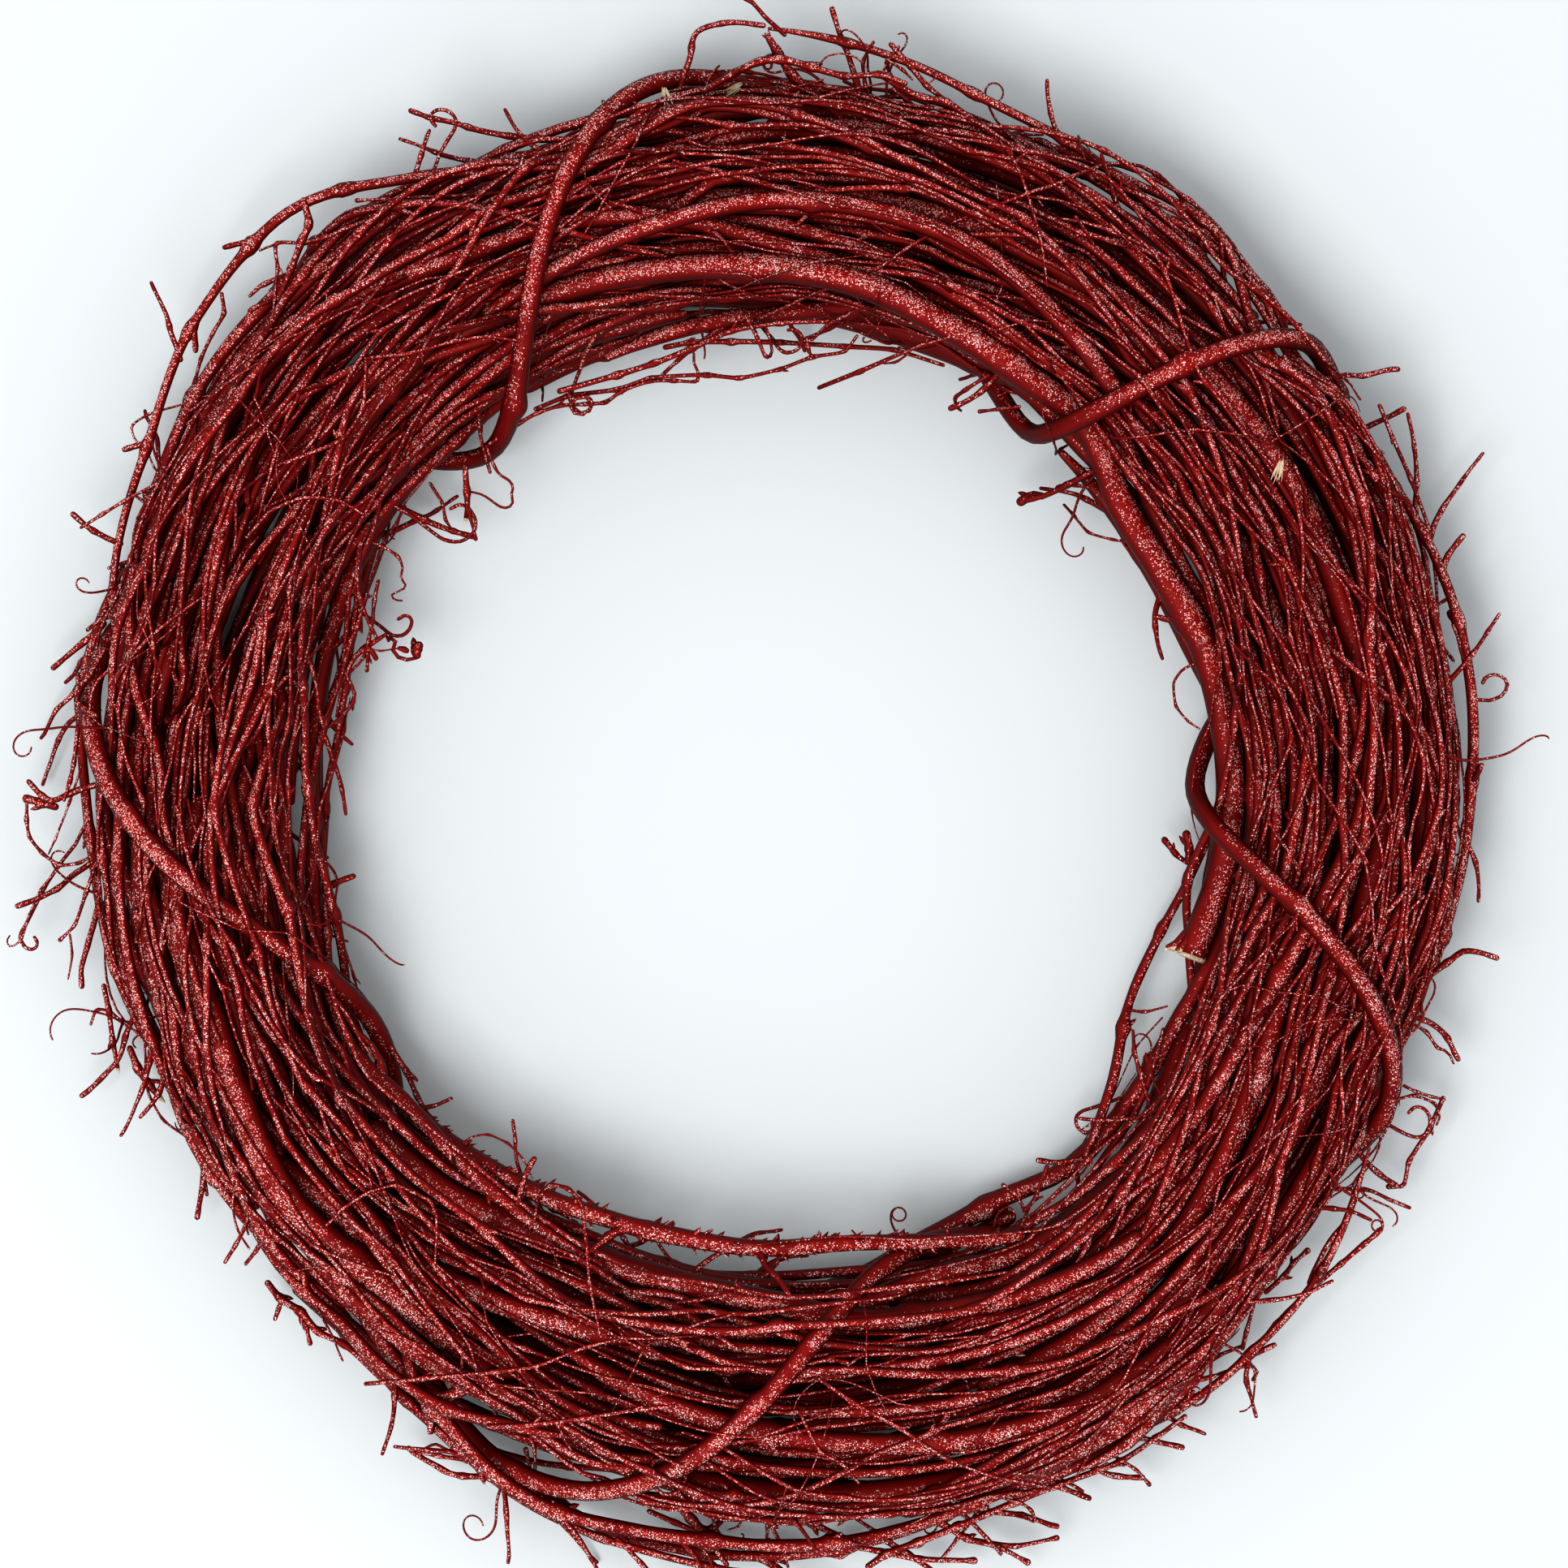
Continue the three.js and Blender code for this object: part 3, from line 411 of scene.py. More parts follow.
def keepInOutline(table):
    wide = table["halfWidth"] - table["girth"]
    tall = ring["halfHeight"] - table["girth"]
    reach = np.hypot(table["out"] / wide, table["up"] / tall)
    squeeze = np.where(table["confined"] & (reach > 1), reach, 1)
    table["out"] /= squeeze
    table["up"] = np.maximum(table["up"] / squeeze, table["girth"] + ring["floorRoom"] - bundleHeight)


def settleCanes(canes, row):
    table = stationTable(canes, stations)
    pieces = pairPieces(table, table)
    beads = bindingBeads(row, stations)
    for turn in range(settling["rounds"] + settling["tighten"]):
        early = turn < settling["rounds"]
        swell = min(1, settling["firstSwell"] + settling["swellBy"] / settling["rounds"] * turn)
        partCanes(table, pieces, swell, settling["ease"] if early else settling["tightenEase"])
        if early:
            drawBack(table)
        pushOffBinding(table, beads, swell)
        keepInOutline(table)
    for line, cane in enumerate(canes):
        at = (cane["first"] + np.arange(cane["span"] + 1)) % stations
        cane["places"] = np.stack([table["out"][line, at], table["up"][line, at]], 1)
        cane["row"] = pointsAt(at * stationAngle, *cane["places"].T)
    return table


caneDraw = drawStream(growth["caneSeed"])
canes = [placedCane(*cane) for cane in placedCanes]
for family in growth["families"]:
    canes += [drawnCane(f"{family[0]}_{n:02d}", family, caneDraw) for n in range(1, family[1] + 1)]
bindingPath = bindingRow()
caneTable = settleCanes(canes, bindingPath)
print("canes settled:", len(canes))


# Twigs: each grows from a cane where there is room for it

twigRules = {"radius": (0.85, 1.25), "tip": 0.5, "rootShare": 0.8, "length": (12, 30), "roots": (0.06, 0.98),
             "lean": (20, 55), "tipLean": (5, 75), "skew": (-0.7, 0.7), "forward": 0.8, "steps": 4,
             "attempts": 60, "edgeBand": 3, "roomStep": 1.5, "gap": 0.45, "beyond": 99}

# Twigs that stand out of the outline: angle and distance of the root, then the tip with its height, a bow,
# and for some one point more or a radius
strayTwigs = [
    ((106, 176), (117.5, 196, 30), 1), ((97, 178), (95, 195, 32), 0, (90.5, 195, 33)),
    ((83, 184), (85.5, 200, 28), 0), ((36, 176), (34.5, 192, 26), 0), ((33.5, 176), (31.8, 189, 22), 1),
    ((19, 178), (21, 187, 24), 1), ((-15, 172), (-12, 180, 30), 0, (-12, 187, 31)),
    ((-18, 172), (-20.5, 187, 16), 2), ((-25, 172), (-31.5, 186, 18), -3), ((-39, 170), (-36.5, 180, 28), 1),
    ((-42, 184), (-35, 188, 25), 1), ((-61, 178), (-57.5, 194, 20), 1), ((-64, 180), (-61, 196, 14), -2),
    ((-69, 180), (-65.5, 194, 18), 0), ((-74, 186), (-68.5, 198, 12), 1), ((-82, 186), (-78, 201, 10), 1),
    ((-91, 190), (-86, 204, 12), 1), ((247, 182), (241, 188, 14), 4), ((211, 168), (216, 180, 12), 0),
    ((199, 172), (203, 190, 14), 3), ((189, 174), (195, 181, 16), -1), ((184, 175), (188, 192, 20), 1),
    ((177, 174), (180, 182, 26), 0, (178.5, 187, 24)), ((157, 178), (157.5, 190, 26), 1),
    ((164, 174), (169.5, 185, 12), 0), ((46, 118), (49.5, 100, 20), 1), ((62, 124), (65, 109, 30), 1),
    ((-50, 122), (-53, 113, 24), 1), ((240, 117), (236.5, 107, 40), 1), ((140, 116), (138, 101, 16), -1),
    ((191, 118), (190, 107, 22), 0), ((251, 113), (248, 121, 42), 0, None, 1.9),
    ((267, 113), (272, 123, 46), 0),
]
strayTwigRadius = (1.15, 0.8)

# Stray tendrils: root, tip, and the radius of the curl that it ends in
strayTendrils = [
    ((182, 176), (190, 193, 16), 3), ((154, 116), (156, 104, 20), 3.5), ((-37, 116), (-45, 112, 10), 3),
    ((118, 180), (115, 186, 36), 4), ((10, 177), (8, 184, 24), 4), ((-27, 172), (-27.5, 183, 20), 4.5),
    ((91, 124), (89, 114, 32), 4), ((143, 117), (141, 105, 30), 6),
]
curl = {"radius": 0.6, "turn": 1.4 * math.pi, "steps": 6, "shrink": 0.45, "rise": 0.35}
strayRootRules = {"farthest": 22, "heightWeight": 0.35, "perStation": 3}
thorn = {"count": 15, "height": 1.8, "spread": 50 * degree, "slant": 0.4}


def addStem(stems, owner, points, radii):
    pieces = {"owner": np.full(len(points) - 1, owner), "start": points[:-1], "end": points[1:],
              "radius": np.maximum(radii[:-1], radii[1:])}
    for name, values in pieces.items():
        stems[name] = np.concatenate([stems[name], values]) if name in stems else values


def hasRoom(points, radii, parent, stems, rules=twigRules):
    spots, widths = [], []
    for i in range(len(points) - 1):
        step = points[i + 1] - points[i]
        checks = max(2, math.ceil(math.sqrt(step @ step) / rules["roomStep"]))
        shares = np.arange(0 if i == 0 else 1, checks + 1)[:, None] / checks
        spots.append(points[i] + shares * step)
        widths.append(np.full(len(shares), max(radii[i], radii[i + 1])))
    spots, widths = np.concatenate(spots), np.concatenate(widths)
    if (spots[:, 2] < widths + ring["floorRoom"]).any() or (spots[:, 2] > ring["tallest"]).any():
        return False
    if (np.hypot(spots[:, 0], spots[:, 1]) < ring["clearHole"] + widths).any():
        return False
    low, high = spots.min(0) - 8, spots.max(0) + 8  # no stem and twig together are thicker than that
    first, last = stems["start"], stems["end"]
    near = (np.minimum(first, last) < high) & (np.maximum(first, last) > low)
    near = near.all(1) & (stems["owner"] != parent)
    start, along = first[near], (last - first)[near]
    away = spots[:, None] - start[None]
    share = np.clip((away * along).sum(2) / (along * along).sum(1), 0, 1)
    apart = np.linalg.norm(away - share[..., None] * along, axis=2)
    return not (apart < stems["radius"][near] + widths[:, None] + rules["gap"]).any()


def placeOnCane(cane, stationsAlong):
    i = min(cane["span"] - 1, math.floor(stationsAlong))
    share = stationsAlong - i
    step = cane["row"][i + 1] - cane["row"][i]
    girth = cane["girths"][i] * (1 - share) + cane["girths"][i + 1] * share
    return cane["row"][i] + share * step, unit(step), girth


def outwardFrom(point):
    angle, out, up = placeOf(point)
    out, up = out / ring["halfWidth"], up / ring["halfHeight"]
    return unit(np.array([out * math.cos(angle), out * math.sin(angle), up]))


def drawnTwig(cane, draw, rules):
    at, way, girth = placeOnCane(cane, between(draw, rules["roots"]) * cane["span"])
    outward = outwardFrom(at)
    side = np.cross(way, outward)
    lean = between(draw, rules["lean"]) * degree
    tipLean = between(draw, rules["tipLean"]) * degree
    skew = between(draw, rules["skew"])
    length = between(draw, rules["length"])
    forward = 1 if next(draw) < rules["forward"] else -1
    thick = min(between(draw, rules["radius"]), rules["rootShare"] * girth)
    points = [at]
    for j in range(rules["steps"]):
        turn = lean + (tipLean - lean) * j / (rules["steps"] - 1)
        heading = way * forward * math.cos(turn) + outward * math.sin(turn) + side * skew * math.sin(turn)
        points.append(points[j] + unit(heading) * length / rules["steps"])
    return np.array(points), np.linspace(thick, rules["tip"], rules["steps"] + 1)


def tipShows(point, rules):
    angle, out, up = placeOf(point)
    over = abs(out) - halfWidth(angle)
    band = rules["edgeBand"]
    return over < rules["beyond"] and (over > -band or up > ring["halfHeight"] - band)


def growTwigs(cane, count, draw, stems, rules):
    for _ in range(count):
        for _ in range(rules["attempts"]):
            points, radii = drawnTwig(cane, draw, rules)
            if tipShows(points[-1], rules) and hasRoom(points, radii, cane["id"], stems, rules):
                cane["grown"].append((points, radii, "twig"))
                addStem(stems, -1, points, radii)
                break


def spotAt(at, away, height):
    return np.array([away * math.cos(at * degree), away * math.sin(at * degree), height])


def smoothPath(corners, count):  # a centripetal Catmull-Rom curve through the corners, as count + 1 points
    corners = [np.asarray(corner, float) for corner in corners]
    corners = [2 * corners[0] - corners[1], *corners, 2 * corners[-1] - corners[-2]]
    pieces = len(corners) - 3
    points = []
    for n in range(count + 1):
        along = pieces * n / count
        piece = min(int(along), pieces - 1)
        x = along - piece
        p0, p1, p2, p3 = corners[piece:piece + 4]
        d0, d1, d2 = (max(float((b - a) @ (b - a)) ** 0.25, 1e-4) for a, b in ((p0, p1), (p1, p2), (p2, p3)))
        t1 = ((p1 - p0) / d0 - (p2 - p0) / (d0 + d1) + (p2 - p1) / d1) * d1
        t2 = ((p2 - p1) / d1 - (p3 - p1) / (d1 + d2) + (p3 - p2) / d2) * d1
        rise = -3 * p1 + 3 * p2 - 2 * t1 - t2
        points.append(p1 + t1 * x + rise * x * x + (2 * p1 - 2 * p2 + t1 + t2) * x ** 3)
    return np.array(points)


def curlPoints(end, heading, radius):
    side = unit(np.array([-heading[1], heading[0], 0]))
    share = np.arange(1, curl["steps"] + 1)[:, None] / curl["steps"]
    size = radius * (1 - curl["shrink"] * share)
    points = end + side * (radius - size * np.cos(curl["turn"] * share))
    points = points + heading * size * np.sin(curl["turn"] * share)
    return points + np.array([0, 0, curl["rise"] * radius]) * share


def strayPath(root, tip, bow, then, curlRadius):
    end = spotAt(*tip)
    across = end - root
    bend = unit(np.array([-across[1], across[0], 0])) * bow
    corners = [root, root + (end - root) * 0.5 + bend, end] + ([spotAt(*then)] if then else [])
    points = smoothPath(corners, twigRules["steps"] + (1 if then else 0))
    if not curlRadius:
        return points
    heading = (end - points[twigRules["steps"] - 1]) * (1, 1, 0)
    return np.concatenate([points, curlPoints(end, unit(heading), curlRadius)])


def strayRoots(root, tipHeight):
    goal = spotAt(*root, tipHeight)
    roots = []
    for cane in canes:
        for n in range(strayRootRules["perStation"] * (cane["span"] - 1)):
            spot, _, girth = placeOnCane(cane, (n + 0.5) / strayRootRules["perStation"])
            reach = math.hypot(*(spot - goal)[:2]) + strayRootRules["heightWeight"] * abs(spot[2] - goal[2])
            if reach < strayRootRules["farthest"]:
                roots.append((reach, cane, spot, girth))
    return sorted(roots, key=lambda found: found[0])


def growStray(stems, root, tip, bow=0, then=None, thick=None, curlRadius=0):
    first, last = (curl["radius"], curl["radius"]) if curlRadius else strayTwigRadius
    for _, cane, spot, girth in strayRoots(root, tip[2]):
        points = strayPath(spot, tip, bow, then, curlRadius)
        radii = np.linspace(min(thick or first, twigRules["rootShare"] * girth), last, len(points))
        if hasRoom(points, radii, cane["id"], stems):
            cane["grown"].append((points, radii, "tendril" if curlRadius else "twig"))
            addStem(stems, -1, points, radii)
            return


for number, cane in enumerate(canes):
    cane["id"] = number
stems = {}
addStem(stems, -2, bindingPath, np.full(len(bindingPath), binding["radius"]))
for cane in canes:
    addStem(stems, cane["id"], cane["row"], cane["girths"])
for stray in strayTwigs:
    growStray(stems, *stray)
for root, tip, radius in strayTendrils:
    growStray(stems, root, tip, curlRadius=radius)
twigDraw = drawStream(growth["twigSeed"])
for cane in canes:
    growTwigs(cane, cane["twigs"], twigDraw, stems, twigRules)
print("twigs grown:", sum(len(cane["grown"]) for cane in canes))


# Tubes

def tubeFrames(points):  # a way forward, a way to the side and the third way, carried along without twist
    ends = np.concatenate([points[:1], points, points[-1:]])
    ways = ends[2:] - ends[:-2]
    ways /= np.linalg.norm(ways, axis=1)[:, None]
    sides = np.empty_like(ways)
    guide = np.cross((0, 0, 1), ways[0])
    if guide @ guide < 1e-6:
        guide = np.array([1.0, 0, 0])
    for i, way in enumerate(ways):
        guide = guide - way * (guide @ way)
        guide = guide / math.sqrt(guide @ guide)
        sides[i] = guide
    return ways, sides, np.cross(ways, sides)


def coarseCorners(points, radii, sides):
    _, side, third = tubeFrames(points)
    turn = 2 * math.pi * np.arange(sides)[:, None, None] / sides
    return (points + radii[:, None] * (np.sin(turn) * side + np.cos(turn) * third)).reshape(-1, 3)


corners = [coarseCorners(bindingPath, np.full(len(bindingPath), binding["radius"]), binding["sides"])]
for cane in canes:
    corners.append(coarseCorners(cane["row"], cane["girths"], cane["sides"]))
    corners += [coarseCorners(points, radii, 3) for points, radii, _ in cane["grown"]]
corners = np.concatenate(corners)
ringMiddle = (corners.min(0) + corners.max(0)) / 2 * (1, 1, 0)  # the CAD puts its origin there
misfit = np.abs(np.ptp(corners, 0)[:2] * millimetre - np.array(cadBounds[1] - cadBounds[0])[:2]).max()
print("the canes' own box differs from the CAD box by", round(float(misfit) / millimetre, 4), "mm")


def smoothNoise(spots, spacing, rng):  # a value from -1 to 1 that wanders along a stem
    controls = np.arange(spots[0] - spacing, spots[-1] + 2 * spacing, spacing)
    return np.interp(spots, controls, rng.uniform(-1, 1, len(controls)))


def alongOf(points):
    return np.concatenate([[0], np.cumsum(np.linalg.norm(np.diff(points, axis=0), axis=1))])


def courseAt(spots, along, course):  # the points of a course at some distances along it
    return np.stack([np.interp(spots, along, course[:, axis]) for axis in range(3)], 1)


def knotSpots(length, spacing, rng):  # where a vine has its knots, with the first some way in
    spots = np.cumsum(rng.uniform(*spacing, int(length / spacing[0]) + 2))
    return spots[spots < length - 4] if (spots < length - 4).any() else np.array([length / 2])


def ringSpots(length, step, knots, reach):  # rings of a tube: evenly spaced, and closer at its knots
    even = np.linspace(0, length, max(3, round(length / step)) + 1)
    close = (knots[:, None] + reach * np.array([-1.4, -0.5, 0.5, 1.4])).ravel()
    spots = np.unique(np.clip(np.concatenate([even, close]), 0, length))
    keep = np.concatenate([[True], np.diff(spots) > 0.3 * reach])
    keep[-1] = True
    return spots[keep]


def throughPlaces(places, t):  # a smooth course through a row of places, one for each whole t
    i = np.clip(np.floor(t).astype(int), 0, len(places) - 2)
    x = (t - i)[:, None]
    padded = np.concatenate([[2 * places[0] - places[1]], places, [2 * places[-1] - places[-2]]])
    p0, p1, p2, p3 = (padded[i + n] for n in range(4))
    t1, t2 = (p2 - p0) * 0.45, (p3 - p1) * 0.45
    return p1 + t1 * x + (3 * (p2 - p1) - 2 * t1 - t2) * x ** 2 + (2 * (p1 - p2) + t1 + t2) * x ** 3


def swellAt(spots, knots, reach, sizes):  # how much each knot adds, by the distance from it
    return np.exp(-((spots[:, None] - knots) / reach) ** 2) @ sizes


def knotted(girths, spots, knots, reach, style, rng):  # uneven, and swollen at the knots
    uneven = 1 + style["uneven"] * smoothNoise(spots, 9, rng)
    swell = swellAt(spots, knots, reach, style["swell"] * rng.uniform(0.6, 1.3, len(knots)))
    return girths * uneven * (1 + swell)


def budTurns(knots, rng):  # buds stand on one side and the other in turn
    return rng.uniform(0, 2 * math.pi) + np.arange(len(knots)) * math.pi + rng.uniform(-0.7, 0.7, len(knots))


def caneCalled(name):
    return next(cane for cane in canes if cane["name"] == name)


def fineCane(cane, style, rng):  # the stem with its knots, as points, radii and knots
    t = np.linspace(0, cane["span"], cane["span"] * 6 + 1)
    stepAngle = 2 * math.pi / cane.get("stations", stations)
    course = pointsAt((cane["first"] + t) * stepAngle, *throughPlaces(cane["places"], t).T)
    along = alongOf(course)
    knots = knotSpots(along[-1], style["knots"], rng)
    reach = 1.4 + 0.5 * cane["girths"][0]
    spots = ringSpots(along[-1], style["step"], knots, reach)
    tt = np.interp(spots, along, t)
    turns = budTurns(knots, rng)
    zigzag = style["zigzag"] * rng.uniform(0.5, 1, len(knots))
    offsets = [np.interp(spots, knots, zigzag * way(turns)) for way in (np.cos, np.sin)]
    places = throughPlaces(cane["places"], tt)
    points = pointsAt((cane["first"] + tt) * stepAngle, places[:, 0] + offsets[0], places[:, 1] + offsets[1])
    girths = np.interp(tt, np.arange(cane["span"] + 1), cane["girths"]) * style["fullness"]
    radii = knotted(girths, spots, knots, reach, style, rng)
    points[:, 2] = np.maximum(points[:, 2], radii + 0.05)
    return points, radii, spots, knots, turns


def fineLaid(vine, style, rng):
    along = alongOf(vine["course"])
    knots = vine["knots"]
    reach = 0.9 + 0.6 * vine["radii"][0]
    spots = ringSpots(along[-1], style["step"], knots, reach)
    points = courseAt(spots, along, vine["course"])
    girths = np.interp(spots, along, vine["radii"])
    return points, knotted(girths, spots, knots, reach, style, rng), spots, knots, budTurns(knots, rng)


def fineTwig(points, radii, rng, step=1.7, swell=0.25):
    length = alongOf(points)[-1]
    path = smoothPath(points, max(4, round(length / step)))
    along = alongOf(path)
    girth = np.interp(along, alongOf(points), radii)
    knots = knotSpots(length, (6, 13), rng)
    bulge = np.exp(-((along[:, None] - np.append(knots, length - 0.9)) / 1.0) ** 2).sum(1) * swell
    wander = 0.6 * np.stack([smoothNoise(along, 6, rng) for _ in range(3)], 1)
    wander = wander * np.minimum(1, along / 6)[:, None]  # none at the root
    return path + wander, girth * (0.8 + bulge + 0.06 * smoothNoise(along, 3, rng))


# A batch gathers tubes until they become one mesh

def newBatch(name):
    return {"name": name, "verts": [], "quads": [], "tris": [], "grain": [], "count": 0}


def addToBatch(batch, verts, quads, tris, grain):
    batch["verts"].append(verts)
    batch["quads"].append(np.asarray(quads, int).reshape(-1, 4) + batch["count"])
    batch["tris"].append(np.asarray(tris, int).reshape(-1, 3) + batch["count"])
    batch["grain"].append(grain)
    batch["count"] += len(verts)


tubeLines = []  # what the glitter falls on: the middle line and radius of every tube


# How a tube ends: each ring's distance past the end and its size, in radii. Then the waves of its flutes:
# how many go round, their share, and their drift in radians a millimetre.
endRings = {"round": ((0.45, 0.88), (0.8, 0.58)), "cut": ((0.0, 0.97),)}
fluteWaves = ((2, 1, 0.012), (3, 0.7, 0.02), (5, 0.45, 0.008))


def withEnds(values, before, after):  # the first and the last again, for the rings past the ends
    return np.concatenate([np.repeat(values[:1], before, 0), values, np.repeat(values[-1:], after, 0)])


def addTube(batch, points, radii, sides, rng, flute=0.0, ends=("round", "round"), buds=None):
    ways, side, third = tubeFrames(points)
    before = endRings[ends[0]][::-1]
    after = endRings[ends[1]]
    start, startRadius, startWay = points[0], radii[0], -ways[0]
    end, endRadius, endWay = points[-1], radii[-1], ways[-1]
    rows = np.array([*[start + startWay * startRadius * far for far, _ in before], *points,
                     *[end + endWay * endRadius * far for far, _ in after]])
    sizes = np.array([*[startRadius * size for _, size in before], *radii,
                      *[endRadius * size for _, size in after]])
    side, third = (withEnds(way, len(before), len(after)) for way in (side, third))
    count = len(rows)
    turn = 2 * math.pi * np.arange(sides) / sides
    along = alongOf(rows)
    profile = np.ones((count, sides))
    if flute:
        for waves, share, drift in fluteWaves:
            phase = rng.uniform(0, 2 * math.pi) + drift * along * rng.choice((-1, 1))
            profile += flute * share * np.cos(waves * turn[None] + phase[:, None])
    if buds is not None:
        knots, turns, reach = buds
        near = np.exp(-((along[:, None] - knots - along[len(before)]) / reach) ** 2)
        facing = np.maximum(0, np.cos(turn[None] - turns[:, None])) ** 2
        profile += 0.3 * near @ facing
    size = sizes[:, None] * profile
    across, upward = size * np.cos(turn), size * np.sin(turn)
    verts = rows[:, None] + across[..., None] * side[:, None] + upward[..., None] * third[:, None]
    poles = [start + startWay * startRadius * (1 if ends[0] == "round" else 0.0),
             end + endWay * endRadius * (1 if ends[1] == "round" else 0.0)]
    ring0 = np.arange(count - 1)[:, None] * sides + np.arange(sides)
    ring1 = np.arange(count - 1)[:, None] * sides + (np.arange(sides) + 1) % sides
    quads = np.stack([ring0, ring1, ring1 + sides, ring0 + sides], -1).reshape(-1, 4)
    last = (count - 1) * sides
    pole = count * sides
    here, there = np.arange(sides), (np.arange(sides) + 1) % sides
    tris = np.concatenate([np.stack([there, here, np.full(sides, pole)], 1),
                           np.stack([last + here, last + there, np.full(sides, pole + 1)], 1)])
    shift = rng.uniform(0, 4000)
    grain = np.stack([across, upward, np.repeat(along[:, None] + shift, sides, 1)], -1).reshape(-1, 3)
    grain = np.concatenate([grain, [[0, 0, shift], [0, 0, shift + along[-1]]]])
    addToBatch(batch, np.concatenate([verts.reshape(-1, 3), poles]), quads, tris, grain)
    tubeLines.append((points, radii))


bud = {"length": (1.3, 2.2), "lean": 0.8, "spurLean": (0.5, 1.1), "radius": (0.7, 1.25), "bend": 0.12,
       "along": (0, 0.35, 0.6, 0.82, 1), "taper": (1, 1, 0.95, 0.7, 0.25),
       "spurTaper": (1, 0.92, 0.88, 0.95, 0.8)}


def growBuds(batch, points, radii, spots, knots, turns, style, rng):  # buds and snapped spurs at the knots
    ways, side, third = tubeFrames(points)
    for knot, turn in zip(knots, turns):
        kind = rng.random()
        if kind > style["buds"] + style["spurs"]:
            continue
        i = int(np.argmin(abs(spots - knot)))
        outward = math.cos(turn) * side[i] + math.sin(turn) * third[i]
        spur = kind > style["buds"]
        length = rng.uniform(*(style["spurLength"] if spur else bud["length"]))
        lean = rng.uniform(*bud["spurLean"]) if spur else bud["lean"]
        heading = unit(outward * math.sin(lean) + ways[i] * math.cos(lean))
        thick = min(radii[i] * 0.62, rng.uniform(*bud["radius"]))
        start = points[i] + outward * radii[i] * 0.35
        reach = radii[i] * 0.75 + length
        shares = np.array(bud["along"])[:, None]
        path = start + shares * reach * heading + bud["bend"] * reach * shares ** 2 * ways[i]
        path[:, 2] = np.clip(path[:, 2], 0.5, ring["tallest"])
        taper = np.array(bud["spurTaper" if spur else "taper"])
        addTube(batch, path, thick * taper, 5, rng, ends=("cut", "round"))


def toFrame(points):  # from the ring's own place to the shared frame, in metres
    return (points - ringMiddle) * millimetre


def meshPiece(batch, material, smooth=True):
    verts = toFrame(np.concatenate(batch["verts"]))
    verts[:, 2] = np.maximum(verts[:, 2], 0)
    quads = np.concatenate(batch["quads"])
    tris = np.concatenate(batch["tris"])
    mesh = bpy.data.meshes.new(batch["name"])
    mesh.vertices.add(len(verts))
    mesh.vertices.foreach_set("co", verts.astype(np.float32).ravel())
    mesh.loops.add(quads.size + tris.size)
    mesh.loops.foreach_set("vertex_index", np.concatenate([quads.ravel(), tris.ravel()]).astype(np.int32))
    mesh.polygons.add(len(quads) + len(tris))
    starts = np.concatenate([np.arange(len(quads)) * 4, quads.size + np.arange(len(tris)) * 3])
    mesh.polygons.foreach_set("loop_start", starts.astype(np.int32))
    mesh.polygons.foreach_set("use_smooth", np.full(len(quads) + len(tris), smooth))
    grain = mesh.attributes.new("grain", "FLOAT_VECTOR", "POINT")
    grain.data.foreach_set("vector", np.concatenate(batch["grain"]).astype(np.float32).ravel())
    glitterAndShade = mesh.attributes.new("glitterAndShade", "FLOAT", "POINT")
    glitterAndShade.data.foreach_set("value", glitterAndShadeOn(np.concatenate(batch["verts"])).astype(np.float32))
    mesh.update(calc_edges=True)
    piece = bpy.data.objects.new(batch["name"], mesh)
    bpy.context.scene.collection.objects.link(piece)
    mesh.materials.append(material)
    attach(piece, bodyName)
    return piece


# How much glitter reaches a place: full on what lies open to the sky, less down between the vines. As the
# flakes are bright, less glitter there is also painted shade between the vines.

glitterAndShadeRules = {"cell": 1.0, "half": 225, "blur": 7, "depth": 15, "cover": 3.0, "least": 0.03,
             "shadedRim": (103, 121), "shadedRimShare": 0.3,  # painted shade: less glitter on the edge of the hole
             "bottom": (60, 100)}  # but more at the bottom of the ring, as painted glints on the side the light comes from


def makeGlitterAndShadeMap():
    cells = int(2 * glitterAndShadeRules["half"] / glitterAndShadeRules["cell"])
    top = np.zeros(cells * cells)
    for points, radii in tubeLines:
        share = np.linspace(0, 1, 4, endpoint=False)[:, None, None]
        middle = (points[:-1] + share * (points[1:] - points[:-1])).reshape(-1, 3)
        width = (radii[:-1] + share[..., 0] * (radii[1:] - radii[:-1])).ravel()
        way = np.tile(points[1:] - points[:-1], (4, 1))[:, :2]
        across = np.stack([-way[:, 1], way[:, 0]], 1) / (np.linalg.norm(way, axis=1)[:, None] + 1e-6)
        for offset in (-0.75, -0.4, 0, 0.4, 0.75):
            spot = middle[:, :2] + across * (offset * width)[:, None]
            cell = ((spot + glitterAndShadeRules["half"]) / glitterAndShadeRules["cell"]).astype(int).clip(0, cells - 1)
            height = middle[:, 2] + width * math.sqrt(1 - offset ** 2)
            np.maximum.at(top, cell[:, 0] * cells + cell[:, 1], height)
    top = top.reshape(cells, cells)
    around = top.copy()
    for _ in range(2):
        for axis in (0, 1):
            reach = range(-glitterAndShadeRules["blur"] // 2, glitterAndShadeRules["blur"] // 2 + 1)
            around = sum(np.roll(around, n, axis) for n in reach) / len(reach)
    return top, around


